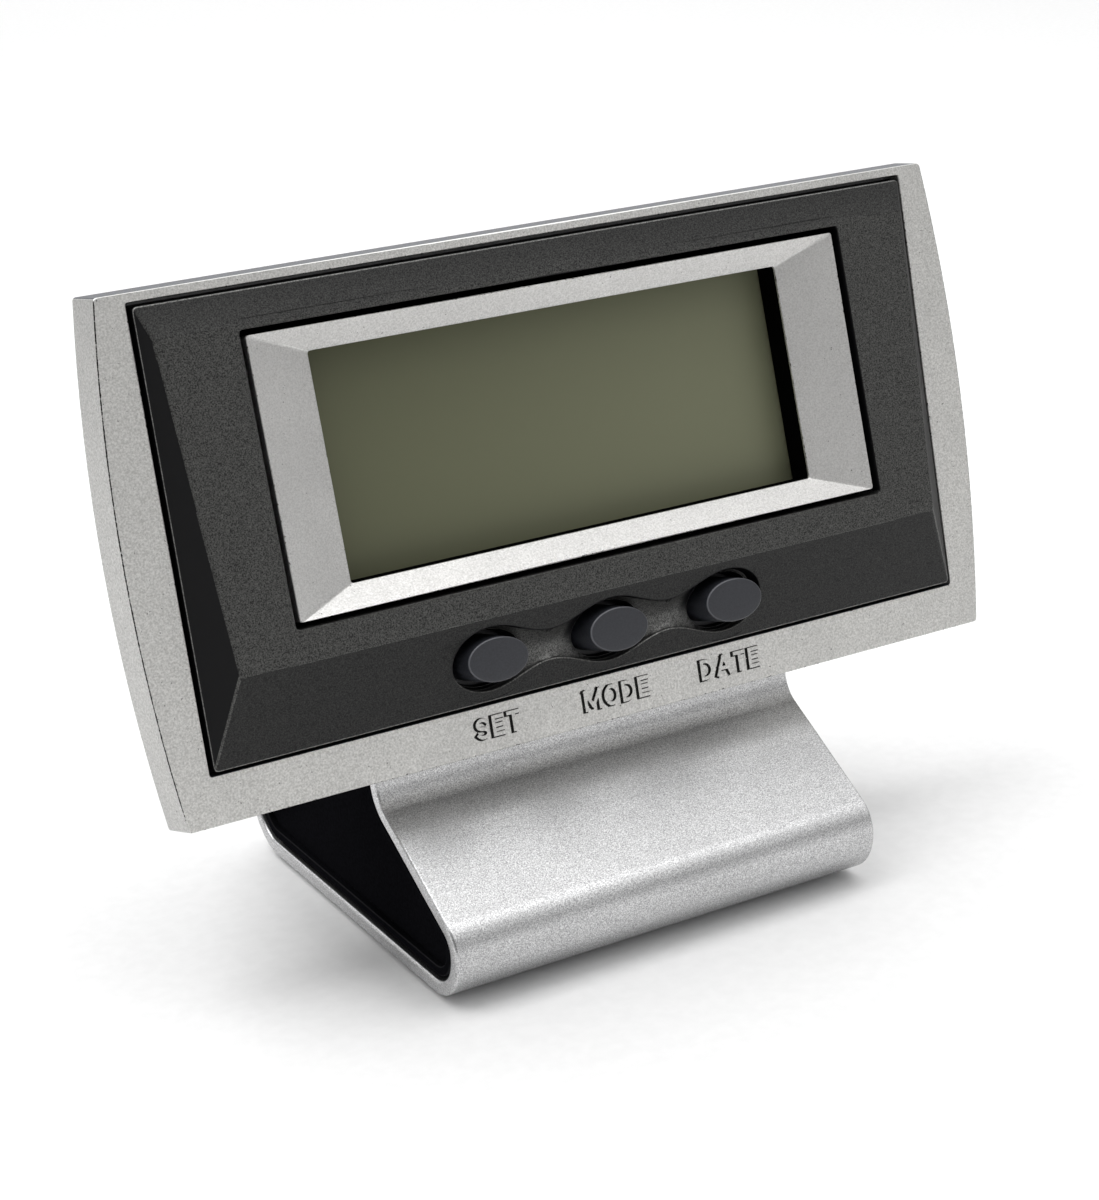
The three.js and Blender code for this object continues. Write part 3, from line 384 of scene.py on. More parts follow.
def paintedLighterRight(tree, where, colour, half=24):
    # A blank display, painted a little lighter towards one side: painted light standing in for
    # its crystal being seen less obliquely there; half is half its width in millimetres.
    across = addNode(tree, "ShaderNodeSeparateXYZ", {"Vector": where}).node.outputs["X"]
    share = {"Value": across, "From Min": -half * mm, "From Max": half * mm}
    share = addNode(tree, "ShaderNodeMapRange", share)
    colour = {"Factor": share, "A": colour, "B": linear("#787a63")}
    return addNode(tree, "ShaderNodeMix", colour, data_type="RGBA")


def sparkTextured(name, dark, light, bareAndPaintedShade, size):
    # Lacquer over spark erosion on the faces that look forward. Faces marked bare and shaded are
    # dark, smooth and not metallic: partly unpainted plastic, mostly painted shade and shadow.
    # Edges marked 1 get a paler line, a painted highlight.
    material, tree, where = newMaterial(name)
    noise = {"Vector": where, "Scale": perMm(size), "Detail": 3, "Roughness": 0.6}
    noise = addNode(tree, "ShaderNodeTexNoise", noise)
    share = addNode(tree, "ShaderNodeMapRange", {"Value": noise, "From Min": 0.35, "From Max": 0.65})
    steep = addNode(tree, "ShaderNodeAttribute", attribute_name="bareAndPaintedShade").node.outputs["Fac"]
    colour = {"Factor": share, "A": linear(dark), "B": linear(light)}
    colour = addNode(tree, "ShaderNodeMix", colour, data_type="RGBA")
    colour = {"Factor": steep, "A": colour, "B": linear(bareAndPaintedShade)}
    colour = addNode(tree, "ShaderNodeMix", colour, data_type="RGBA")
    edge = addNode(tree, "ShaderNodeAttribute", attribute_name="edge").node.outputs["Fac"]
    paintedHighlightColour = {"Factor": share, "A": linear("#4c4c4a"), "B": linear("#9c9c9a")}
    paintedHighlightColour = addNode(tree, "ShaderNodeMix", paintedHighlightColour, data_type="RGBA")
    colour = {"Factor": edge, "A": colour, "B": paintedHighlightColour}
    strength = addNode(tree, "ShaderNodeMapRange", {"Value": steep, "To Min": 0.7, "To Max": 0.05})
    relief = {"Height": noise, "Distance": 0.014 * mm, "Strength": strength}
    inputs = {
        "Base Color": addNode(tree, "ShaderNodeMix", colour, data_type="RGBA"),
        "Metallic": addNode(tree, "ShaderNodeMapRange", {"Value": steep, "To Min": 0.55, "To Max": 0.0}),
        "Roughness": addNode(tree, "ShaderNodeMapRange", {"Value": steep, "To Min": 0.36, "To Max": 0.45}),
        "Normal": addNode(tree, "ShaderNodeBump", relief),
        "Specular IOR Level": 0.18,
    }
    shader = addNode(tree, "ShaderNodeBsdfPrincipled", inputs)
    addNode(tree, "ShaderNodeOutputMaterial", {"Surface": shader})
    return material


def clouded(tree, where, colour):
    # Slow drift in the tone, a few per cent, as paint and anodising have.
    cloud = addNode(tree, "ShaderNodeTexNoise", {"Vector": where, "Scale": perMm(6), "Detail": 2})
    share = {"Value": cloud, "From Min": 0.3, "From Max": 0.7, "To Max": 0.12}
    share = addNode(tree, "ShaderNodeMapRange", share)
    colour = {"Factor": share, "A": colour, "B": linear("#8f8f8f")}
    return addNode(tree, "ShaderNodeMix", colour, data_type="RGBA")


def silverCoat(tree, where, colour):
    # Walls with a painted shade mark get a greyer, darker coat: painted shade on the top and side walls.
    paintedWallShade = addNode(tree, "ShaderNodeAttribute", attribute_name="paintedWallShade").node.outputs["Fac"]
    coat = {"Factor": paintedWallShade, "A": clouded(tree, where, colour), "B": linear("#4c4f55")}
    return edgeWearShadeAndHighlight(tree, where, addNode(tree, "ShaderNodeMix", coat, data_type="RGBA"))


def paintedHighlightLine(paintedHighlightColour, most):
    # A rim marked 1 gets a paler line: a painted highlight.
    def paint(tree, where, colour):
        mark = addNode(tree, "ShaderNodeAttribute", attribute_name="edge").node.outputs["Fac"]
        share = addNode(tree, "ShaderNodeMath", {0: mark, 1: most}, operation="MULTIPLY")
        colour = {"Factor": share, "A": colour, "B": linear(paintedHighlightColour)}
        return addNode(tree, "ShaderNodeMix", colour, data_type="RGBA")

    return paint


def weave(tree, where, colour):
    # Glass cloth under the resist of a circuit board, one square for each crossing.
    cloth = {"Vector": where, "Scale": perMm(0.4), "Color1": linear("#24512f"), "Color2": linear("#2c5e39")}
    cloth = addNode(tree, "ShaderNodeTexChecker", cloth)
    return addNode(tree, "ShaderNodeMix", {"Factor": 0.4, "A": colour, "B": cloth}, data_type="RGBA")


# What each stuff does to light apart from its colour, roughness and grain.
plastic = {"IOR": 1.5}
dullPlastic = {"IOR": 1.5, "Specular IOR Level": 0.0}
resin = {"IOR": 1.55}
lacqueredGlass = {"IOR": 1.55, "Coat Weight": 0.3}
ceramic = {"IOR": 1.6}
film = {"IOR": 1.49, "Specular IOR Level": 0.2}
flake = {"Metallic": 0.8, "IOR": 1.5}
fineFlake = {"Metallic": 0.85, "IOR": 1.5}
bareMetal = {"Metallic": 1.0}
# Paler rim lines painted on as highlights.
blackRimHighlight = paintedHighlightLine("#2c2c2e", 0.8)
slateRimHighlight = paintedHighlightLine("#68696e", 0.75)

# Each finish: the dark and light of its grain, roughness, size and depth of the grain in
# millimetres. A real grain finer than a pixel of the picture is drawn 0.11 to 0.17 mm across,
# so that it shows.
materials = {
    # Silver metallic lacquer on moulded ABS: mica flake glitters softly in a warm grey.
    "silver": grained(
        "silver_lacquer_on_abs", "#b8b7b4", "#dddcd9", 0.42, 0.17, 0.014, flake, paint=silverCoat
    ),
    # The same lacquer with a finer flake: brighter, and sharper where it turns.
    "brightSilver": grained(
        "bright_lacquer_on_abs", "#bdbcba", "#dad9d7", 0.38, 0.15, 0.012, fineFlake, paint=silverCoat
    ),
    # Graphite lacquer over a spark-eroded mould: a tight grain of lit and shaded points.
    "charcoal": sparkTextured("graphite_lacquer_spark_texture", "#262626", "#60605e", "#08080a", 0.12),
    # Black ABS with the leather grain of its mould: soft broken shine.
    "cover": grained("textured_black_abs", "#151517", "#1f1f21", 0.52, 0.3, 0.03, plastic),
    # Black ABS, matt, with a painted highlight along its rim edges.
    "core": grained(
        "matt_black_abs_block", "#0c0c0e", "#131316", 0.5, 0.3, 0.01, dullPlastic, paint=blackRimHighlight
    ),
    # Matt black ABS round the display, meant not to be seen.
    "mask": grained("matt_black_abs", "#040404", "#070707", 0.6, 0.2, 0.01, dullPlastic),
    # Slate plastic keys: satin, even, with only the breath of a matt mould.
    "key": grained(
        "satin_key_plastic", "#26272c", "#2d2f35", 0.4, 0.14, 0.004, plastic, paint=slateRimHighlight
    ),
    # Aluminium strip, blasted and clear anodised: fine dimples sparkle through a satin shine.
    "strip": grained(
        "blasted_anodised_aluminium", "#959597", "#e8e8e8", 0.34, 0.11, 0.014, bareMetal, paint=clouded
    ),
    # Blank liquid crystal behind a matt polariser: an even grey green without any sparkle.
    "display": grained(
        "matt_polariser_film", "#61634d", "#61634d", 0.4, 0.12, 0.001, film, paint=paintedLighterRight
    ),
    # Embossed foil: crumpled, with a broken silvery shine.
    "foil": grained("embossed_foil", "#8c8e7f", "#b0b1a2", 0.42, 0.4, 0.02, bareMetal),
    # Carbon-loaded rubber: dead matt and sooty.
    "carbon": grained("carbon_loaded_rubber", "#1c1c1c", "#2b2b2b", 0.75, 0.2, 0.01, plastic),
    # Moulded silicone: milky grey with a dusty skin.
    "keypad": grained("grey_silicone_rubber", "#84868a", "#95979a", 0.6, 0.4, 0.01, plastic),
    # Cellular rubber: open matt skin with tiny pores.
    "pad": grained("cellular_pad_rubber", "#161616", "#292929", 0.85, 0.45, 0.05, plastic),
    # Glass-epoxy board under green resist: the cloth shows as a faint square weave.
    "board": grained(
        "glass_epoxy_green_resist", "#24502f", "#2f633c", 0.4, 2.5, 0.004, lacqueredGlass, paint=weave
    ),
    # Potting resin: a black glossy drop.
    "resin": grained("black_potting_resin", "#0a0a0a", "#131313", 0.25, 1.5, 0.02, resin),
    # Fired ceramic: matt tan with fine speckle.
    "ceramic": grained("fired_ceramic", "#a5835a", "#b8966a", 0.55, 0.25, 0.01, ceramic),
    # Nickel-plated steel, pressed: bright and slightly yellow, with faint drawing marks.
    "nickel": grained("nickel_plated_steel", "#b1aea2", "#c6c4b8", 0.28, 0.25, 0.004, bareMetal),
    # Zinc-plated steel, turned: duller and bluer.
    "zinc": grained("zinc_plated_steel", "#85878a", "#a0a2a4", 0.36, 0.2, 0.004, bareMetal),
}
print("materials ready:", len(materials))


# Silver front frame, its window and its raised legends

frameShape = {
    "depth": 3.8,
    "flareSide": 0.45,
    "flareEnd": 0.25,
    "wall": 1.4,
    "topWall": 0.74,
    "windowHalf": 38.0,
    "windowTop": 38.85,
    "windowCorner": 0.25,
    "outerFillet": 0.13,
    "windowFillet": 0.14,
    # edge marks: a dark line along the outer sides, and a painted highlight along the top
    "sideLine": 3.4,
    "sideLineFrom": 0.4,
    "paintedTopHighlight": -1.0,
    "paintedTopHighlightWidth": 0.3,
    # how much painted shade, as a greyer coat, the walls that look up and aside get
    "paintedShadeTop": 1.0,
    "paintedShadeSide": 0.2,
    "wallTurn": 0.7,
}


def frontFrame(s):
    window = rectangle(s["windowHalf"], 0, s["windowTop"], s["windowCorner"])
    hollow = faceOutline(s["wall"], s["wall"], s["topWall"])
    rings = [
        atDepth(faceOutline(-s["flareSide"], -s["flareEnd"], -s["flareEnd"]), s["depth"]),
        atDepth(faceOutline(0, 0, 0), 0),
        atDepth(window, 0),
        atDepth(window, s["wall"]),
        atDepth(hollow, s["wall"]),
        atDepth(hollow, s["depth"]),
    ]
    rings, marks = filleted(rings, [0, s["outerFillet"], s["windowFillet"], 0, 0, 0])
    skin = Skin()
    skin.loft(rings, marks, closed=True)
    for i, p in enumerate(skin.points):
        if not skin.marks[i]:
            continue
        # A painted highlight along the top edge, a dark line down the outer sides.
        if p.z > faceShape["top"] - s["paintedTopHighlightWidth"]:
            skin.marks[i] = s["paintedTopHighlight"]
        elif abs(p.x) > s["windowHalf"] + 1 and p.z > faceShape["bottom"] + s["sideLineFrom"]:
            skin.marks[i] = s["sideLine"]
    made = skin.object("silver_frame", onHead)
    toHead = onHead.to_3x3().inverted()
    # Painted shade: the top walls get the full greyer coat, the side walls a little of it.
    paintedWallShade = []
    for face in made.data.polygons:
        normal = toHead @ face.normal
        aside = s["paintedShadeSide"] if abs(normal.x) > s["wallTurn"] else 0.0
        paintedWallShade.append(s["paintedShadeTop"] if normal.z > s["wallTurn"] else aside)
    marked(made.data, "paintedWallShade", "FACE", paintedWallShade)
    return smoothed(made)


finished(frontFrame(frameShape), "clock", materials["silver"], ["front_frame"])

legendShape = {
    "height": 1.87,
    "stroke": 0.33,
    "space": 0.6,
    "middle": -1.91,
    "shift": 0.45,
    "root": 0.2,
    "relief": 0.16,
    "foot": 0.095,
    "footRelief": 0.03,
    "paintedShadowShift": (-0.11, -0.04),
    "grid": 0.03,
    # edge mark that paints the foot and the letters' left walls dark: painted shade on the walls, and
    # a painted shadow where the foot is set off to the lower left; and how far such a wall turns
    "dark": 4.0,
    "wallForward": 0.6,
    "wallAside": -0.3,
}


def bend(cx, cz, rx, rz, start, end, steps=12):
    turns = [math.radians(start + (end - start) * i / steps) for i in range(steps + 1)]
    return [(cx + rx * math.cos(a), cz + rz * math.sin(a)) for a in turns]


# Pen lines of each letter in a box one unit high: the width, then the strokes.
letters = {
    "S": (0.64, [bend(0.32, 0.745, 0.32, 0.255, 25, 270) + bend(0.32, 0.245, 0.32, 0.245, 80, -155)]),
    "E": (0.58, [[(0, 0), (0, 1)], [(0, 1), (0.58, 1)], [(0, 0.52), (0.52, 0.52)], [(0, 0), (0.58, 0)]]),
    "T": (0.64, [[(0, 1), (0.64, 1)], [(0.32, 0), (0.32, 1)]]),
    "M": (
        0.94,
        [[(0, 0), (0, 1)], [(0, 1), (0.47, 0.15)], [(0.47, 0.15), (0.94, 1)], [(0.94, 1), (0.94, 0)]],
    ),
    "O": (0.8, [bend(0.4, 0.5, 0.4, 0.5, -100, 100), bend(0.4, 0.5, 0.4, 0.5, 80, 280)]),
    "D": (0.7, [[(0, 0), (0, 1)], [(0, 0)] + bend(0.22, 0.5, 0.48, 0.5, -90, 90) + [(0, 1)]]),
    "A": (0.85, [[(0, 0), (0.42, 1)], [(0.43, 1), (0.85, 0)], [(0.15, 0.34), (0.7, 0.34)]]),
}


def strokeOutline(points, half):
    # A pen line widened to a closed band, its ends carried on by half a width.
    left = []
    right = []
    for i, p in enumerate(points):
        along = (points[min(i + 1, len(points) - 1)] - points[max(i - 1, 0)]).normalized()
        across = Vector((-along.y, along.x)) * half
        end = -1 if i == 0 else 1 if i == len(points) - 1 else 0
        left.append(p + along * end * half + across)
        right.append(p + along * end * half - across)
    return right + left[::-1]


def letterRow(name, text, x, s, grow, shift, relief):
    # Strokes joined on a fine grid, which rounds their edges.
    scale = s["height"] - s["stroke"]
    length = sum(letters[c][0] for c in text) * scale + s["space"] * (len(text) - 1)
    at = Vector((x + s["shift"] - length / 2, s["middle"] - scale / 2)) + Vector(shift)
    skin = Skin()
    for c in text:
        width, strokes = letters[c]
        for stroke in strokes:
            line = [at + Vector(p) * scale for p in stroke]
            outline = strokeOutline(line, s["stroke"] / 2 + grow)
            skin.loft([atDepth(outline, s["root"]), atDepth(outline, -relief)], caps=("rear", "front"))
        at.x += width * scale + s["space"]
    made = skin.object(name, onHead)
    grid = made.modifiers.new("grid", "REMESH")
    grid.mode = "VOXEL"
    grid.voxel_size = s["grid"] * mm
    soften = made.modifiers.new("soften", "SMOOTH")
    soften.factor = 0.5
    soften.iterations = 3
    applied(made).data.shade_smooth()
    return made


def legend(name, text, x, s):
    # Raised letters on a thin foot set off to the lower left; the foot is painted dark as their
    # shadow and their left walls are painted dark as shade.
    made = letterRow(name, text, x, s, 0, (0, 0), s["relief"])
    forward = onHead.to_3x3() @ Vector((0, -1, 0))
    marks = []
    for v in made.data.vertices:
        # Walls that face left are painted dark as shade.
        shadedLeftWall = v.normal.dot(forward) < s["wallForward"] and v.normal.x < s["wallAside"]
        marks.append(s["dark"] * shadedLeftWall)
    marked(made.data, "edge", "POINT", marks)
    foot = letterRow("foot", text, x, s, s["foot"], s["paintedShadowShift"], s["footRelief"])
    marked(foot.data, "edge", "POINT", [s["dark"]] * len(foot.data.vertices))
    work = bmesh.new()
    work.from_mesh(made.data)
    work.from_mesh(foot.data)
    work.to_mesh(made.data)
    work.free()
    bpy.data.objects.remove(foot)
    return made


keys = [("set", "SET", -12), ("mode", "MODE", 0), ("date", "DATE", 12)]
for keyName, word, keyX in keys:
    made = legend(keyName + "_legend", word, keyX, legendShape)
    finished(made, "clock", materials["silver"], ["front_frame"])


# Dark bezel: raised plinth, display cut-out, key recess

bezelShape = {
    "edgeHalf": 37.62,
    "edgeBottom": 0.3,
    "edgeTop": 38.42,
    "edgeRise": 0.3,
    "flangeHalf": 38.8,
    "flangeBottom": -0.8,
    "flangeTop": 38.56,
    "flangeDepths": (1.7, 2.5),
    "ridgeHalf": 35.0,
    "ridgeTopHalf": 36.8,
    "ridgeBottom": 7.87,
    "ridgeTop": 35.7,
    "cutHalf": 29.45,
    "cutBottom": 10.62,
    "cutTop": 35.32,
    "cutDepth": 3.2,
    "corner": 0.4,
    "ridgeCorner": 0.5,
    "edgeFillet": 0.2,
    "ridgeFillet": 0.3,
    "cutFillet": 0.14,
    "slope": 0.4079,
    "wall": 0.9,
}
recessShape = {
    "level": 4.3,
    "pitch": 12,
    "lobeHalf": 2.8,
    "endReach": 3.68,
    "neckHalf": 1.35,
    "sink": (1.5, 0.25),
    "dish": (0.2, 0.7),
    "lipWidth": 0.35,
    "lipFillet": 0.1,
    "draft": 0.05,
    "mouthHalf": 3.42,
    "mouthHeight": 2.5,
    "mouthFillet": 0.08,
    "holeHalf": 3.35,
    "holeHeight": 2.35,
    "holeDepth": 4.5,
    # points inside the floor: their spacing, and how far they keep from the rim and the keys
    "floorGrid": 0.25,
    "floorRim": 0.15,
    "keyClear": (3.65, 2.75),
    # edge marks below the level of the keys, strongest in a neck: a painted highlight along the
    # lower lip and painted light on the lower floor
    "lipPaintedHighlight": 0.8,
    "floorPaintedLight": 0.9,
    "floorPaintedLightStart": 0.2,
}
# Painted shade and shadow, with bare plastic down in the holes: marks run from 0, lit lacquer,
# to 1, dark.
bareAndShadeShape = {
    "steep": 0.6,  # a face that looks forward less than this, or aside more, is marked bare and shaded
    "lookingUp": 0.4,  # unless it looks up more than this
    "upperWall": -0.5,  # in the recess, a face that looks down more than this is marked bare and shaded
    "wallSink": 0.15,  # down to this much under a neck's floor
    "depth": 0.6,  # all that lies deeper behind the face is marked bare and shaded
    "sink": 0.3,  # what lies deeper under the slope fades out from the keys
    "margin": 0.1,  # the recess is taken this much larger
    "keyReach": (3.75, 2.75),  # half sizes of the oval round a key painted dark as the key's shadow
    "keyShift": 0.45,  # the oval lies this far to the left, where the painted shadow falls
    "fadeEnd": 1.15,  # where the painted shadow ends, as a share of the oval
    "fade": 0.2,
    "sunkLeast": 0.272,
    "paintedShadeBelow": 0.68,  # painted shade on the slope below the flat
    "belowTurn": -0.25,
    "paintedShadeAbove": 0.6,  # painted shade on the slope above it, coming in from aboveStart under its edge
    "aboveTurn": 0.02,
    "aboveStart": 0.5,
}


def recessHalf(x, s):
    # Half the height of the key recess at x, and how much of a neck it is there.
    neck = (1 - math.cos(2 * math.pi * x / s["pitch"])) / 2 if abs(x) < s["pitch"] else 0
    past = min(1, max(0, abs(x) - s["pitch"]) / s["endReach"])
    half = s["lobeHalf"] + (s["neckHalf"] - s["lobeHalf"]) * neck
    return half * math.sqrt(1 - past**2), neck


def recessOutline(grow, s, steps=110):
    # A lobe at each key and a neck between two; grow moves the outline outwards.
    last = s["pitch"] + s["endReach"]
    upper = []
    for i in range(steps + 1):
        x = -last * math.cos(math.pi * i / steps)
        upper.append(Vector((x, recessHalf(x, s)[0])))
    lower = [Vector((p.x, -p.y)) for p in upper[1:-1]]
    outline = [Vector((p.x, p.y + s["level"])) for p in lower + upper[:0:-1] + upper[:1]]
    made = []
    for i, p in enumerate(outline):
        along = (outline[(i + 1) % len(outline)] - outline[i - 1]).normalized()
        made.append(p + Vector((along.y, -along.x)) * grow)
    return made


def slopeDepth(z, s):
    # The slope falls away from the ridge's lower edge.
    return (s["ridgeBottom"] - z) * s["slope"]


def onSlope(outline, s):
    return [planeInHead @ Vector((p[0], slopeDepth(p[1], s), p[1])) for p in outline]


def floorPoint(p, s, r):
    # The recess floor lies under the slope, dished across, and is shallower in a neck.
    half, neck = recessHalf(p[0], r)
    least = 0.1  # half the height where the recess ends in a point
    off = min(1, abs(p[1] - r["level"]) / max(half, least))
    sink = r["sink"][0] + (r["sink"][1] - r["sink"][0]) * neck
    dish = r["dish"][0] + (r["dish"][1] - r["dish"][0]) * neck
    return planeInHead @ Vector((p[0], slopeDepth(p[1], s) + sink + dish * (1 - off**2), p[1]))


def plinth(skin, s):
    # Everything but the recess: gives back the slope's outline, open for the recess.
    edge = rectangle(s["edgeHalf"], s["edgeBottom"], s["edgeTop"], s["corner"])
    flange = rectangle(s["flangeHalf"], s["flangeBottom"], s["flangeTop"], s["corner"])
    ridge = rectangle(
        s["ridgeHalf"], s["ridgeBottom"], s["ridgeTop"], s["ridgeCorner"], s["ridgeTopHalf"]
    )
    opening = rectangle(s["cutHalf"], s["cutBottom"], s["cutTop"], s["corner"])
    rings = [
        atDepth(flange, s["flangeDepths"][1]),
        atDepth(flange, s["flangeDepths"][0]),
        atDepth(edge, s["flangeDepths"][0]),
        atDepth(edge, -s["edgeRise"]),
        atDepth(ridge, 0, planeInHead),
        atDepth(opening, 0, planeInHead),
        atDepth(opening, s["cutDepth"], planeInHead),
    ]
    radii = [0, 0, 0, s["edgeFillet"], s["ridgeFillet"], s["cutFillet"], 0]
    rings, marks = filleted(rings, radii)
    slopeRing = 6  # last ring of the fillet along the outer edge
    # Only the outer edge's fillet keeps its mark: a painted highlight along it.
    marks = [mark if k < slopeRing else 0 for k, mark in enumerate(marks)]
    skin.loft(rings, marks, skip=lambda ring, i: ring == slopeRing and i < sidePoints)
    toPlane = planeInHead.inverted()
    lower = [toPlane @ p for p in rings[slopeRing][: sidePoints + 1]]
    upper = [toPlane @ p for p in rings[slopeRing + 1][: sidePoints + 1]]
    return [Vector((p.x, p.z)) for p in lower + upper[::-1]]


def recess(skin, border, s, r):
    # The slope round the recess, its rolled lip, the key holes and the dished floor between.
    toPlane = planeInHead.inverted()
    lip = recessOutline(r["lipWidth"], r)
    foot = recessOutline(-r["draft"], r)
    skin.patch([border, lip], lambda p: onSlope([p], s)[0])
    beforeLip = len(skin.points)
    walls = [onSlope(lip, s), onSlope(recessOutline(0, r), s), [floorPoint(p, s, r) for p in foot]]
    skin.loft(*filleted(walls, [0, r["lipFillet"], 0]))
    # The lip's lower side in a neck gets a painted highlight.
    for i in range(beforeLip, len(skin.points)):
        spot = toPlane @ skin.points[i]
        if skin.marks[i]:
            skin.marks[i] = r["lipPaintedHighlight"] * recessHalf(spot.x, r)[1] * (spot.z < r["level"])
    holes = []
    for _, _, x in keys:
        mouths = []
        for grow in (r["mouthFillet"], 0):
            mouths.append(ellipse(r["mouthHalf"] + grow, r["mouthHeight"] + grow, x, r["level"]))
        hole = [[floorPoint(p, s, r) for p in mouth] for mouth in mouths]
        bottom = ellipse(r["holeHalf"], r["holeHeight"], x, r["level"])
        hole.append(atDepth(bottom, r["holeDepth"], planeInHead))
        skin.loft(*filleted(hole, [0, r["mouthFillet"], 0], steps=2))
        holes.append(mouths[0])
    beforeFloor = len(skin.points)
    skin.patch([foot, *holes], lambda p: floorPoint(p, s, r), floorSpots(r))
    # The floor gets painted light towards its lower side, most in a neck.
    for i in range(beforeFloor, len(skin.points)):
        spot = toPlane @ skin.points[i]
        half, neck = recessHalf(spot.x, r)
        below = r["floorPaintedLightStart"] + (r["level"] - spot.z) / half
        skin.marks[i] = r["floorPaintedLight"] * neck * max(0, min(1, below))


def keyDistance(x, z, r, reach, shift=0):
    # How far a place is from the nearest key: 1 on an oval with the half sizes in reach.
    above = (z - r["level"]) / reach[1]
    return min(math.hypot((x - keyX + shift) / reach[0], above) for _, _, keyX in keys)


def floorSpots(r):
    # Points between the keys, so that the floor follows its dish.
    gap = r["floorGrid"]
    across = int((r["pitch"] + r["endReach"]) / gap)
    up = int(r["lobeHalf"] / gap)
    within = recessOutline(-r["floorRim"], r)
    spots = []
    for i in range(-across, across + 1):
        for j in range(-up, up + 1):
            spot = Vector((i * gap, r["level"] + j * gap))
            if keyDistance(spot.x, spot.y, r, r["keyClear"]) > 1 and inside(spot, within):
                spots.append(spot)
    return spots


def markBareAndShade(made, s, r, b):
    # Steep faces that don't look up, and all that is down in a gap or round a key, are marked
    # dark: partly unpainted plastic, mostly painted shade, with a painted shadow round each key;
    # the slopes above and below the flat get part of the mark as painted shade.
    toPlane = onPlane.inverted()
    toHead = onHead.inverted()
    mesh = made.data
    marks = [0.0] * len(mesh.loops)
    for face in mesh.polygons:
        normal = toPlane.to_3x3() @ face.normal
        centre = toPlane @ (face.center / mm)
        sunk = centre.y - slopeDepth(centre.z, s)
        near = abs(centre.x) < r["pitch"] + r["endReach"] + b["margin"]
        near = near and abs(centre.z - r["level"]) < r["lobeHalf"] + b["margin"]
        steep = (normal.y > -b["steep"] or abs(normal.x) > b["steep"]) and normal.z < b["lookingUp"]
        wall = near and normal.z < b["upperWall"] and sunk < r["sink"][1] + b["wallSink"]
        bareAndPaintedShade = steep or wall or (toHead @ (face.center / mm)).y > b["depth"]
        for i in face.loop_indices:
            spot = toPlane @ (mesh.vertices[mesh.loops[i].vertex_index].co / mm)
            if bareAndPaintedShade:
                marks[i] = 1.0
            # Round each key an oval, set off to the left, is painted dark as its shadow.
            elif near and sunk > b["sink"]:
                away = keyDistance(spot.x, spot.z, r, b["keyReach"], b["keyShift"])
                marks[i] = max(b["sunkLeast"], min(1.0, (b["fadeEnd"] - away) / b["fade"]))
            # The slopes below and above the flat get painted shade.
            elif normal.z < b["belowTurn"]:
                marks[i] = b["paintedShadeBelow"]
            elif normal.z > b["aboveTurn"]:
                past = spot.z - s["ridgeTop"] + b["aboveStart"]
                marks[i] = b["paintedShadeAbove"] * max(0.0, min(1.0, past))
    marked(mesh, "bareAndPaintedShade", "CORNER", marks)


def bezel(s, r, b):
    skin = Skin()
    border = plinth(skin, s)
    recess(skin, border, s, r)
    made = skin.object("dark_bezel", onHead)
    markBareAndShade(made, s, r, b)
    return smoothed(walled(made, s["wall"]))


made = bezel(bezelShape, recessShape, bareAndShadeShape)
finished(made, "clock", materials["charcoal"], ["bezel"])


# Silver picture frame round the display

lcdShape = {
    "half": 28.95,
    "bottom": 11.12,
    "top": 34.82,
    "recess": 0.25,
    "depth": 3.2,
    "openingHalf": 23.22,
    "openingBottom": 13.22,
    "openingTop": 32.72,
    "openingDepth": 1.8,
    "lip": 0.3,
    "lipDepths": (0.2, 0.25),
    "wall": 0.8,
    "facetWall": 1,
    "corners": {"outer": 0.25, "opening": 0.3, "inner": 0.1},
    "outerFillet": 0.12,
    "openingFillet": 0.1,
}


def lcdFrame(s):
    # Four facets fall from the outer edge to the opening; the rear runs the same way inside.
    def grownBy(size, corner):
        return rectangle(
            s["openingHalf"] + size, s["openingBottom"] - size, s["openingTop"] + size, corner
        )

    corners = s["corners"]
    wall = s["wall"]
    outer = rectangle(s["half"], s["bottom"], s["top"], corners["outer"])
    opening = grownBy(0, corners["opening"])
    lip = grownBy(s["lip"], corners["opening"])
    inner = rectangle(s["half"] - wall, s["bottom"] + wall, s["top"] - wall, corners["inner"])
    rings = [
        atDepth(outer, s["depth"]),
        atDepth(outer, s["recess"]),
        atDepth(opening, s["openingDepth"]),
        atDepth(opening, s["openingDepth"] + s["lipDepths"][0]),
        atDepth(lip, s["openingDepth"] + s["lipDepths"][1]),
        atDepth(inner, s["recess"] + s["facetWall"]),
        atDepth(inner, s["depth"]),
    ]
    rings, marks = filleted(rings, [0, s["outerFillet"], s["openingFillet"], 0, 0, 0, 0])
    skin = Skin()
    skin.loft(rings, marks, closed=True)
    return smoothed(skin.object("picture_frame", onPlane), 25)


finished(lcdFrame(lcdShape), "clock", materials["brightSilver"], ["lcd_frame"])


# Key caps

keyShape = {
    "half": 2.9,
    "high": 1.9,
    "level": recessShape["level"],
    "rise": 0.1,
    "crown": 0.05,
    "crownRings": (0.75, 0.5, 0.25, 0.03),
    "draft": 0.1,
    "fillet": 0.14,
    # behind the cap, a flange with eased edges and a stem
    "flange": (0.75, 0.49),
    "flangeDepths": (4.8, 5.5),
    "flangeFillet": 0.1,
    "stem": (1.6, 1.05),
    "stemDepth": 6.9,
    # edge mark of the rim, a painted highlight: all round, and what the upper left has more
    "rimPaintedHighlight": 0.35,
    "rimPaintedHighlightLeft": 0.65,
}


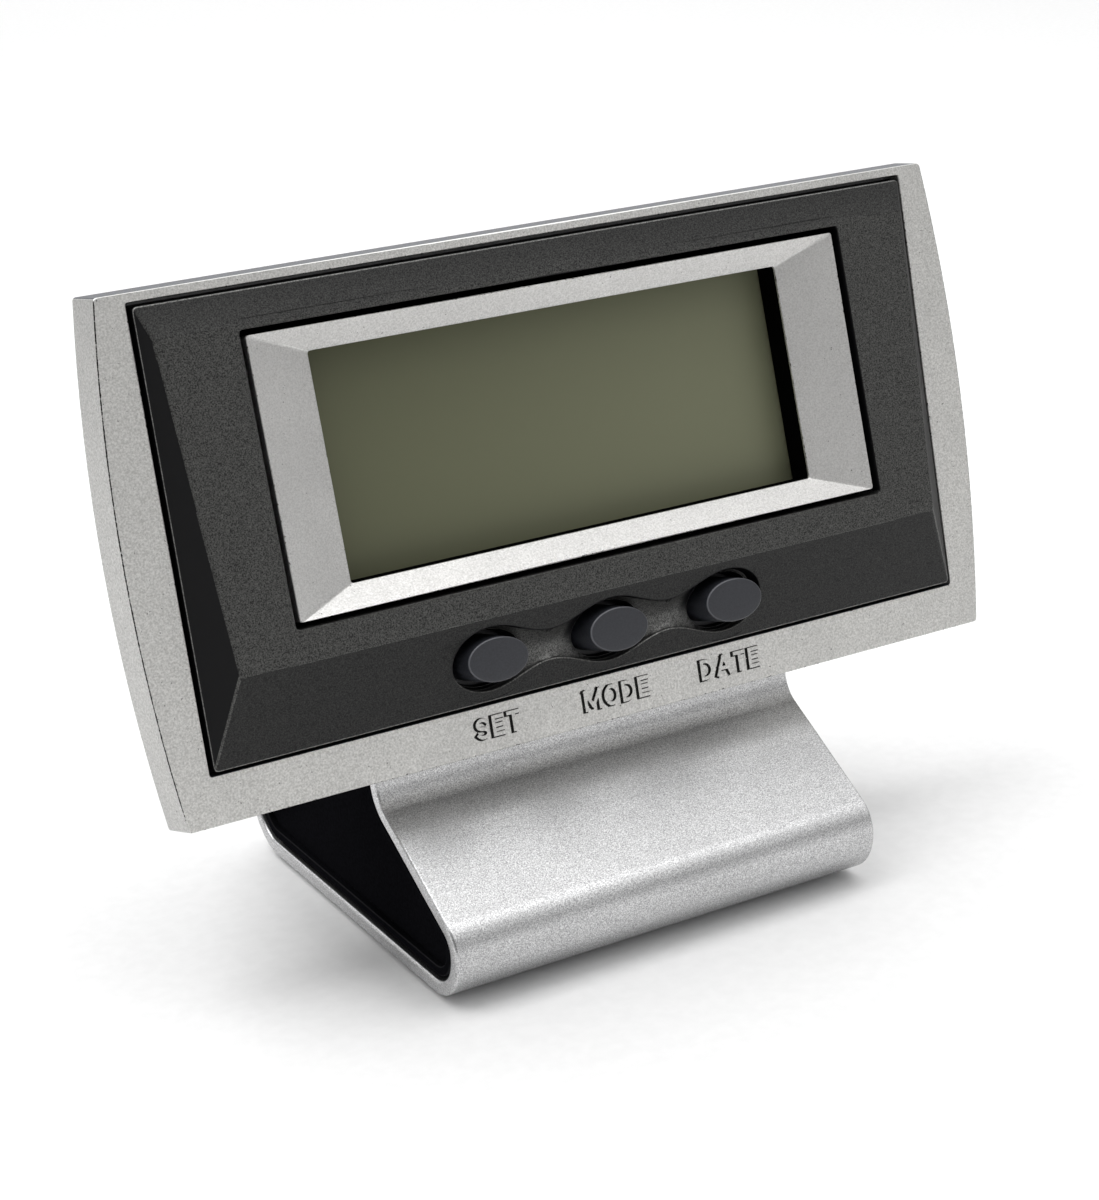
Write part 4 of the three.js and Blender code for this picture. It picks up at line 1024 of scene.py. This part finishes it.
def keyCap(name, x, s):
    def oval(halfWidth, halfHeight, depth):
        return atDepth(ellipse(halfWidth, halfHeight, x, s["level"]), depth)

    half = s["half"]
    high = s["high"]
    front, back = s["flangeDepths"]
    rings = [
        oval(*s["stem"], s["stemDepth"]),
        oval(*s["stem"], back),
        oval(half + s["flange"][0], high + s["flange"][1], back),
        oval(half + s["flange"][0], high + s["flange"][1], front),
        oval(half + s["draft"], high + s["draft"], front),
        oval(half, high, -s["rise"] + s["crown"]),
    ]
    for share in s["crownRings"]:
        depth = -s["rise"] + s["crown"] * share**2
        rings.append(oval(half * share, high * share, depth))
    flange = s["flangeFillet"]
    radii = [0, 0, flange, flange, 0, s["fillet"]] + [0] * len(s["crownRings"])
    rings, marks = filleted(rings, radii, steps=5)
    skin = Skin()
    skin.loft(rings, marks, caps=("rear", "front"))
    # A painted highlight along the rim, stronger towards the upper left.
    for i, p in enumerate(skin.points):
        aside = Vector((p.x - x, p.z - s["level"])).normalized()
        toUpperLeft = max(0, aside.y - aside.x) / math.sqrt(2)
        skin.marks[i] *= s["rimPaintedHighlight"] + s["rimPaintedHighlightLeft"] * toUpperLeft
    return smoothed(skin.object(name, onPlane), 40)


for keyName, _, keyX in keys:
    made = keyCap(keyName + "_key_cap", keyX, keyShape)
    finished(made, keyName + "_key", materials["key"], [keyName + "_button"])


# Stand: a bent strip

stripShape = {
    "width": 43.3,
    "thickness": 1.3,
    "edgeRadius": 0.28,
    "faceTilt": places["tilt"],
    "slopeAngle": 30.7,
    "slopeLength": 12.2,
    "rollUpper": 2.1,
    "rollLower": 3.45,
    "neckRadius": 3,
    "neckLength": 6,
    "baseLength": 33,
    "rearRadius": 3.7,
    "rearTurn": 78,
    "hair": 0.001,  # keeps the outside just within the CAD strip's
    "holeEase": 0.12,
}


def stripPath(inset, s, arcStep=3):
    # From the rear lip along the table, round the roll and up to the head, as (y, z) points.
    t = s["thickness"]
    slope = s["slopeAngle"]
    bends = [
        (s["rearRadius"] + t, -s["rearTurn"]),
        (s["baseLength"], None),
        (s["rollLower"] + t, -90),
        (s["rollUpper"] + t, slope - 90),
        (s["slopeLength"], None),
        (s["neckRadius"], 90 - s["faceTilt"] - slope),
        (s["neckLength"], None),
    ]

    def toRight(heading):
        return Vector((math.sin(math.radians(heading)), -math.cos(math.radians(heading))))

    heading = 180 + s["rearTurn"]
    rise = bends[0][0] * (1 - math.cos(math.radians(s["rearTurn"])))
    at = Vector((0, rise)) + toRight(heading) * inset
    points = [at.copy()]
    for size, turn in bends:
        if turn is None:
            ahead = toRight(heading + 90)
            steps = max(1, round(size / 2))
            points += [at + ahead * (size * i / steps) for i in range(1, steps + 1)]
        else:
            reach = math.copysign(size, turn) + inset
            centre = at - toRight(heading) * reach
            steps = math.ceil(abs(turn) / arcStep)
            points += [centre + toRight(heading + turn * i / steps) * reach for i in range(1, steps + 1)]
            heading += turn
        at = points[-1]
    return points


def newTree(name, sockets):
    tree = bpy.data.node_groups.new(name, "GeometryNodeTree")
    tree.interface.new_socket("Geometry", in_out="INPUT", socket_type="NodeSocketGeometry")
    for label in sockets:
        tree.interface.new_socket(label, in_out="INPUT", socket_type="NodeSocketFloat")
    tree.interface.new_socket("Geometry", in_out="OUTPUT", socket_type="NodeSocketGeometry")
    return tree, tree.nodes.new("NodeGroupInput").outputs


def endTree(tree, geometry, material):
    plain = addNode(tree, "GeometryNodeRealizeInstances", {"Geometry": geometry})
    painted = addNode(tree, "GeometryNodeSetMaterial", {"Geometry": plain, "Material": material})
    addNode(tree, "NodeGroupOutput", {"Geometry": painted})


def grown(made, tree, values):
    # Runs a tree on an object, with its sizes in metres, and keeps the plain mesh.
    change = made.modifiers.new("shape", "NODES")
    change.node_group = tree
    for item in tree.interface.items_tree:
        if item.in_out == "INPUT" and item.name in values:
            change[item.identifier] = values[item.name]
    return applied(made)


def stripTree(material):
    # Sweeps a flat section with rounded edges along the path.
    tree, inputs = newTree("bent_strip", ["Width", "Thickness", "Edge Radius"])
    path = addNode(tree, "GeometryNodeMeshToCurve", {"Mesh": inputs["Geometry"]})
    section = {"Width": inputs["Width"], "Height": inputs["Thickness"]}
    section = addNode(tree, "GeometryNodeCurvePrimitiveQuadrilateral", section)
    section = {"Curve": section, "Radius": inputs["Edge Radius"], "Count": 4}
    section = addNode(tree, "GeometryNodeFilletCurve", section, mode="POLY")
    swept = {"Curve": path, "Profile Curve": section, "Fill Caps": True}
    endTree(tree, addNode(tree, "GeometryNodeCurveToMesh", swept), material)
    return tree


# Countersunk holes for the two screws from the strip into the core
footHoles = {
    "x": 12,
    "y": -21.39,
    "radius": 1.0,
    "sinkRadius": 1.85,
    "sink": 0.8,
    "shoulder": 0.02,
    "drill": (-1, 3),
}


def turnedPiece(name, profile, place, count=48):
    # A round solid about Z from (radius, height) pairs, lowest first.
    skin = Skin()
    rings = [[Vector((p.x, p.y, z)) for p in ellipse(r, r, count=count)] for r, z in profile]
    skin.loft(rings, caps=("rear", "front"))
    return skin.object(name, place, outward=True)


def strip(s, holes, material):
    middle = [(0, *p) for p in stripPath(s["thickness"] / 2 + s["hair"], s)]
    edges = [(i, i + 1) for i in range(len(middle) - 1)]
    made = newObject("bent_strip", meshFrom("bent_strip", middle, [], onStand, edges))
    sizes = {
        "Width": s["width"] * mm,
        "Thickness": s["thickness"] * mm,
        "Edge Radius": s["edgeRadius"] * mm,
    }
    grown(made, stripTree(material), sizes)
    cleaned(made.data, outward=True)
    profile = [
        (holes["sinkRadius"], holes["drill"][0]),
        (holes["sinkRadius"], holes["sink"]),
        (holes["radius"], holes["sink"] + holes["shoulder"]),
        (holes["radius"], holes["drill"][1]),
    ]
    for x in (-holes["x"], holes["x"]):
        drill = turnedPiece("drill", profile, onStand @ Matrix.Translation((x, holes["y"], 0)))
        booleaned(made, drill, "DIFFERENCE")
    return smoothed(applied(beveled(made, s["holeEase"], 2, 60)), 40)


made = strip(stripShape, footHoles, materials["strip"])
finished(made, "clock", materials["strip"], ["stand_shell"])


# Black core inside the bend of the strip

coreShape = {
    "gap": 0.3,
    "top": -3.8,
    "topDepth": 13.0,
    "rearSag": 2.2,
    "half": 21.35,
    "rim": 0.9,
    "panelHalf": 20.75,
    "rimFillet": 0.22,
    "panelFillet": 0.12,
    "rearPoints": 41,
    # points along the bend, under the head and down the rear, the same for every section
    "counts": (130, 10, 30),
    # how far the lines run on, so that they cross
    "overrun": {"rear": 3, "front": -10, "back": 5},
}


def crossing(first, second):
    # Where one line of points first meets another: the place and the piece of each.
    for i in range(len(first) - 1):
        for j in range(len(second) - 1):
            hit = intersect_line_line_2d(first[i], first[i + 1], second[j], second[j + 1])
            if hit:
                return hit, i, j
    raise ValueError("the lines don't meet")


def spaced(points, count):
    # The same line with evenly spread points, without its last one.
    lengths = [0]
    for a, b in zip(points, points[1:]):
        lengths.append(lengths[-1] + (b - a).length)
    made = []
    at = 0
    for i in range(count):
        want = lengths[-1] * i / count
        while lengths[at + 1] < want:
            at += 1
        share = (want - lengths[at]) / (lengths[at + 1] - lengths[at])
        made.append(points[at].lerp(points[at + 1], share))
    return made


def coreOutline(inset, s, bent):
    # Along the strip's inside, back under the head and down a sagging slope, as (y, z) points.
    tilt = math.radians(bent["faceTilt"])
    headAt = Vector(places["head"]) - Vector(places["stand"])

    def headPoint(y, z):
        along = headAt.y + y * math.cos(tilt) + z * math.sin(tilt)
        up = headAt.z - y * math.sin(tilt) + z * math.cos(tilt)
        return Vector((along, up))

    path = stripPath(bent["thickness"] + s["gap"] + inset, bent)
    foot = stripPath(bent["thickness"], bent)[0]
    top = headPoint(s["topDepth"], s["top"])
    path.insert(0, Vector((path[0].x, top.y)))
    sag = (top + foot) / 2 - Vector((0, s["rearSag"]))
    rear = []
    for i in range(s["rearPoints"]):
        t = i / (s["rearPoints"] - 1)
        p = top * (1 - t) ** 2 + sag * (2 * t * (1 - t)) + foot * t**2
        along = ((sag - top) * (1 - t) + (foot - sag) * t).normalized()
        rear.append(p + Vector((along.y, -along.x)) * inset)
    past = s["overrun"]
    rear.append(rear[-1] + (rear[-1] - rear[-2]) * past["rear"])
    underDepths = (past["front"], s["topDepth"] + past["back"])
    under = [headPoint(y, s["top"] - inset) for y in underDepths]
    lipAt, i0, j0 = crossing(path, rear)
    neckAt, i1, _ = crossing(path[::-1], under)
    topAt, j1, _ = crossing(rear, under) if inset else (top, 0, 0)
    front = [lipAt, *path[i0 + 1 : len(path) - 1 - i1], neckAt]
    back = [topAt, *rear[j1 + 1 : j0 + 1], lipAt]
    lines = zip((front, [neckAt, topAt], back), s["counts"])
    return [p for line, count in lines for p in spaced(line, count)]


def core(s, bent):
    def section(inset, x):
        return [Vector((x, *p)) for p in coreOutline(inset, s, bent)]

    rings = [
        section(s["rim"], -s["panelHalf"]),
        section(s["rim"], -s["half"]),
        section(0, -s["half"]),
        section(0, s["half"]),
        section(s["rim"], s["half"]),
        section(s["rim"], s["panelHalf"]),
    ]
    fillets = [0, s["panelFillet"], s["rimFillet"], s["rimFillet"], s["panelFillet"], 0]
    rings, marks = filleted(rings, fillets)
    skin = Skin()
    skin.loft(rings, marks, caps=("rear", "front"))
    return smoothed(skin.object("stand_core_block", onStand, outward=True), 30)


finished(core(coreShape, stripShape), "clock", materials["core"], ["stand_core"])


# Rear cover

coverShape = {
    "front": 4.12,
    "back": 14.19,
    "shrink": 0.1,
    # share of the depth, then how far the sides, the underside and the top have moved in
    "taper": [
        (0, 0.6, 0.9, 0.6),
        (0.42, 2.0, 1.0, 1.2),
        (0.82, 3.5, 1.2, 2.3),
        (0.95, 4.5, 1.9, 3.3),
        (1, 5.6, 3.0, 4.4),
    ],
    "corner": 0.5,
    "cornerGrowth": 2.2,
    "lip": (1.2, 1.2, 0.8),
    "lipFront": 2.5,
}


def eased(values, share):
    # A smooth curve through evenly numbered values.
    at = min(int(share), len(values) - 2)
    t = share - at
    p = [Vector(values[max(0, min(len(values) - 1, at + k))]) for k in (-1, 0, 1, 2)]
    a = p[1] * 2
    b = p[2] - p[0]
    c = p[0] * 2 - p[1] * 5 + p[2] * 4 - p[3]
    d = p[1] * 3 - p[0] - p[2] * 3 + p[3]
    return (a + b * t + c * t**2 + d * t**3) / 2


def copyOf(node, name, closeness=0.001):
    # A CAD piece's own mesh, its loose triangles joined, to work on.
    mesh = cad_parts[node].data.copy()
    made = newObject(name, mesh)
    mesh.materials.clear()
    work = bmesh.new()
    work.from_mesh(mesh)
    bmesh.ops.remove_doubles(work, verts=work.verts, dist=closeness * mm)
    work.to_mesh(mesh)
    work.free()
    return made


def rearCover(s):
    # The CAD cover keeps its seats, posts and bores; a smooth crowned skin trims its outside.
    cornerSteps = 8
    lip = faceOutline(*s["lip"], s["corner"], cornerSteps)
    rings = [atDepth(lip, s["lipFront"]), atDepth(lip, s["front"])]
    steps = 28
    for i in range(steps + 1):
        share = i / steps
        depth, side, below, above = eased(s["taper"], share * (len(s["taper"]) - 1))
        outline = faceOutline(
            side - frameShape["flareSide"] + s["shrink"],
            below - frameShape["flareEnd"] + s["shrink"],
            above - frameShape["flareEnd"] + s["shrink"],
            s["corner"] + s["cornerGrowth"] * share,
            cornerSteps,
        )
        y = s["front"] + depth * (s["back"] - s["front"])
        rings.append(atDepth(outline, y))
    skin = Skin()
    skin.loft(rings[::-1], caps=("rear", "front"))
    made = skin.object("rear_shell", onHead, outward=True)
    booleaned(made, copyOf("rear_cover", "cover_copy"), "INTERSECT")
    return smoothed(made, 40)


finished(rearCover(coverShape), "clock", materials["cover"], ["rear_cover"])


def refined(node, name, width):
    # A CAD piece with its flat faces made whole and its edges rounded.
    made = copyOf(node, name)
    work = bmesh.new()
    work.from_mesh(made.data)
    bmesh.ops.dissolve_limit(work, angle_limit=math.radians(1), verts=work.verts, edges=work.edges)
    work.to_mesh(made.data)
    work.free()
    return smoothed(beveled(made, width, 2, 40), 40)


made = refined("battery_door", "cell_door_panel", 0.12)
finished(made, "cell_door", materials["cover"], ["battery_door"])
made = refined("button_cell", "coin_cell", 0.06)
finished(made, "clock", materials["nickel"], ["button_cell"])


# Screws, each a shank and a domed cross-slot head set on a point

screwShape = {"shankRadius": 0.75, "headRadius": 1.6, "slot": 0.45}
# Each point is where the underside of a head sits, and the heads face along aim.
screwSets = {
    "case_screw": {
        "place": onHead,
        "points": [(x, 11.7, z) for x in (-32.2, 32.2) for z in (3.6, 31.35)],
        "aim": (0, 1, 0),
        "length": 9.2,
        "headHeight": 1.1,
    },
    "board_screw": {
        "place": onPlane,
        "points": [(x, 9.35, 18.975) for x in (-31.6, 31.6)],
        "aim": (0, 1, 0),
        "length": 6.05,
        "headHeight": 1.1,
    },
    "stand_screw": {
        "place": onHead,
        "points": [(x, 9.5, -1.6) for x in (-11, 11)],
        "aim": (0, 0, 1),
        "length": 7.2,
        "headHeight": 1.1,
    },
    "foot_screw": {
        "place": onStand,
        "points": [(x, footHoles["y"], 0.7) for x in (-footHoles["x"], footHoles["x"])],
        "aim": (0, 0, -1),
        "length": 4.5,
        "headHeight": 0.65,
    },
}


def screwTree(material):
    # A shank and the upper half of a flattened ball, cut by a cross of two bars.
    names = ["Length", "Head Height", "Shank Radius", "Head Radius", "Slot"]
    tree, inputs = newTree("cross_slot_screws", names)

    def times(a, factor):
        return addNode(tree, "ShaderNodeMath", {0: a, 1: factor}, operation="MULTIPLY")

    def moved(geometry, z):
        offset = addNode(tree, "ShaderNodeCombineXYZ", {"Z": z})
        return addNode(tree, "GeometryNodeTransform", {"Geometry": geometry, "Translation": offset})

    shank = {"Vertices": 32, "Radius": inputs["Shank Radius"], "Depth": inputs["Length"]}
    shank = addNode(tree, "GeometryNodeMeshCylinder", shank)
    shank = moved(shank, times(inputs["Length"], -0.5))
    ball = {"Segments": 48, "Rings": 24, "Radius": inputs["Head Radius"]}
    ball = addNode(tree, "GeometryNodeMeshUVSphere", ball)
    sizes = {0: inputs["Head Height"], 1: inputs["Head Radius"]}
    flatness = addNode(tree, "ShaderNodeMath", sizes, operation="DIVIDE")
    squeeze = addNode(tree, "ShaderNodeCombineXYZ", {"X": 1.0, "Y": 1.0, "Z": flatness})
    ball = addNode(tree, "GeometryNodeTransform", {"Geometry": ball, "Scale": squeeze})
    wide = times(inputs["Head Radius"], 3)
    lowerSize = addNode(tree, "ShaderNodeCombineXYZ", {"X": wide, "Y": wide, "Z": wide})
    lower = moved(addNode(tree, "GeometryNodeMeshCube", {"Size": lowerSize}), times(wide, -0.5))
    arm = times(inputs["Head Radius"], 1.24)
    tall = times(inputs["Head Height"], 1.2)
    bars = []
    for x, y in ((arm, inputs["Slot"]), (inputs["Slot"], arm)):
        size = addNode(tree, "ShaderNodeCombineXYZ", {"X": x, "Y": y, "Z": tall})
        bars.append(moved(addNode(tree, "GeometryNodeMeshCube", {"Size": size}), inputs["Head Height"]))
    head = ball
    for tool in (lower, *bars):
        head = addNode(tree, "GeometryNodeMeshBoolean", {0: head, 1: tool}, operation="DIFFERENCE")
    whole = tree.nodes.new("GeometryNodeJoinGeometry")
    for part in (shank, head):
        tree.links.new(part, whole.inputs[0])
    aim = addNode(tree, "GeometryNodeInputNamedAttribute", {"Name": "aim"}, data_type="FLOAT_VECTOR")
    turn = addNode(tree, "FunctionNodeAlignRotationToVector", {"Vector": aim}, axis="Z")
    placed = {"Points": inputs["Geometry"], "Instance": whole.outputs[0], "Rotation": turn}
    endTree(tree, addNode(tree, "GeometryNodeInstanceOnPoints", placed), material)
    return tree


def screws(name, s, tree):
    mesh = meshFrom(name, s["points"], [], s["place"])
    layer = mesh.attributes.new("aim", "FLOAT_VECTOR", "POINT")
    for spot in layer.data:
        spot.vector = (s["place"].to_3x3() @ Vector(s["aim"])).normalized()
    made = newObject(name, mesh)
    sizes = {
        "Length": s["length"] * mm,
        "Head Height": s["headHeight"] * mm,
        "Shank Radius": screwShape["shankRadius"] * mm,
        "Head Radius": screwShape["headRadius"] * mm,
        "Slot": screwShape["slot"] * mm,
    }
    return smoothed(grown(made, tree, sizes), 40)


crossSlot = screwTree(materials["zinc"])
for screwName, screwSet in screwSets.items():
    made = screws(screwName + "s", screwSet, crossSlot)
    nodes = [f"{screwName}_{i + 1}" for i in range(len(screwSet["points"]))]
    finished(made, "clock", materials["zinc"], nodes)


# Pad under the base

padShape = {
    "half": 17,
    "y0": -33.89,
    "y1": -8.89,
    "top": -0.05,
    "bottom": -0.45,
    "corner": 2.5,
    "rim": 1,
    "fillet": 0.12,
}


def basePad(s):
    def ring(inset, z):
        corner = s["corner"] - inset
        outline = rectangle(s["half"] - inset, s["y0"] + inset, s["y1"] - inset, corner, steps=8)
        return [Vector((p.x, p.y, z)) for p in outline]

    rings = [
        ring(s["rim"], s["bottom"]),
        ring(0, s["bottom"]),
        ring(0, s["top"]),
        ring(s["rim"], s["top"]),
    ]
    skin = Skin()
    skin.loft(*filleted(rings, [0, s["fillet"], s["fillet"], 0]), caps=("rear", "front"))
    return smoothed(skin.object("foot_pad", onStand, outward=True))


finished(basePad(padShape), "clock", materials["pad"], ["base_pad"])


# CAD pieces whose shape is already right

kept = {
    "lcd_mask": "mask",
    "lcd_front_glass": "display",
    "lcd_rear_glass": "display",
    "lcd_reflector": "foil",
    "zebra_strip_lower": "carbon",
    "zebra_strip_upper": "carbon",
    "set_contact_pill": "carbon",
    "mode_contact_pill": "carbon",
    "date_contact_pill": "carbon",
    "circuit_board": "board",
    "chip_blob": "resin",
    "quartz_crystal": "nickel",
    "capacitor_1": "ceramic",
    "capacitor_2": "ceramic",
    "keypad": "keypad",
    "battery_contact_negative": "nickel",
    "battery_contact_positive": "nickel",
}
for node, look in kept.items():
    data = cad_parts[node].data
    data.materials.clear()
    data.materials.append(materials[look])
print("CAD pieces dressed:", len(kept))


# Floor, light and camera

stageLook = {
    "floor": ("#f2f2f2", "#f5f5f5"),
    "floorSize": 2.4,
    # strength of the room at the left and right in front, and how many times that behind
    "shadedLeftWall": 0.21,
    "rightWall": 0.235,
    "backShare": 3.42,
    # each softbox: place and aim in metres, width, height and power
    "lights": {
        "front_light": ((0.3, -0.36, 0.55), (0, 0, 0.02), 0.7, 0.6, 1.0),
        "high_front_light": ((0.15, -0.25, 0.75), (0, 0, 0), 0.5, 0.5, 0.9),
        "low_card": ((0.46, -0.88, 0.18), (0, 0, 0.03), 0.9, 0.34, 0.5),
        "top_light": ((0, 0.05, 0.65), (0, 0, 0), 0.5, 0.5, 0.69),
        "left_light": ((-0.3, 0.1, 0.6), (0, 0, 0), 0.5, 0.5, 1.9),
        "right_light": ((0.8, 0.1, 0.6), (0, 0, 0), 0.6, 0.6, 0.15),
        "rear_light": ((0.5, 0.7, 0.7), (0.1, 0.2, 0), 1.2, 0.8, 1.8),
        "far_light": ((0.25, 1.1, 0.6), (0.25, 0.85, 0), 1.6, 0.5, 2.2),
    },
}


def floor(s):
    half = s["floorSize"] / 2
    corners = [(-half, -half, 0), (half, -half, 0), (half, half, 0), (-half, half, 0)]
    mesh = bpy.data.meshes.new("floor")
    mesh.from_pydata(corners, [], [(0, 1, 2, 3)])
    made = newObject("floor", mesh)
    mesh.materials.append(grained("white_paper_sweep", *s["floor"], 0.8, 1.5, 0.001, plastic, detail=2))


floor(stageLook)


def softbox(name, place, aim, width, height, power):
    data = bpy.data.lights.new(name, "AREA")
    data.shape = "RECTANGLE"
    data.size = width
    data.size_y = height
    data.energy = power
    made = newObject(name, data)
    made.location = place
    made.rotation_euler = (Vector(aim) - Vector(place)).to_track_quat("-Z", "Y").to_euler()


def studio(s):
    # A room brighter behind than in front, with softboxes above and a low card in front.
    world = bpy.data.worlds.new("studio")
    bpy.context.scene.world = world
    world.use_nodes = True
    tree = world.node_tree
    tree.nodes.clear()
    direction = addNode(tree, "ShaderNodeTexCoord").node.outputs["Generated"]
    axes = addNode(tree, "ShaderNodeSeparateXYZ", {"Vector": direction}).node.outputs
    across = {"From Min": 0.0, "From Max": 0.85, "To Min": s["shadedLeftWall"], "To Max": s["rightWall"]}
    across = {"Value": axes["X"], **across}
    across = addNode(tree, "ShaderNodeMapRange", across, interpolation_type="SMOOTHSTEP")
    behind = {"From Min": -0.5, "From Max": 0.15, "To Min": 1.0, "To Max": s["backShare"]}
    behind = {"Value": axes["Y"], **behind}
    behind = addNode(tree, "ShaderNodeMapRange", behind, interpolation_type="SMOOTHSTEP")
    strength = addNode(tree, "ShaderNodeMath", {0: across, 1: behind}, operation="MULTIPLY")
    room = addNode(tree, "ShaderNodeBackground", {"Strength": strength, "Color": (1, 1, 1, 1)})
    addNode(tree, "ShaderNodeOutputWorld", {"Surface": room})
    for name, light in s["lights"].items():
        softbox(name, *light)


studio(stageLook)
bpy.context.scene.view_settings.view_transform = "Standard"

# The photo's viewpoint: place and aim in metres, roll in degrees, lens in millimetres.
cameraShape = {
    "place": (-0.10483, -0.19057, 0.10552),
    "aim": (0.00078, 0, 0.02639),
    "roll": -2.93,
    "lens": 75.83,
}


def camera(s):
    data = bpy.data.cameras.new("camera")
    data.lens = s["lens"]
    data.sensor_width = 36
    data.clip_start = 0.01
    made = newObject("camera", data)
    look = (Vector(s["aim"]) - Vector(s["place"])).to_track_quat("-Z", "Y").to_matrix().to_4x4()
    roll = Matrix.Rotation(math.radians(s["roll"]), 4, "Z")
    made.matrix_world = Matrix.Translation(s["place"]) @ look @ roll
    bpy.context.scene.camera = made


camera(cameraShape)
print("stage set")
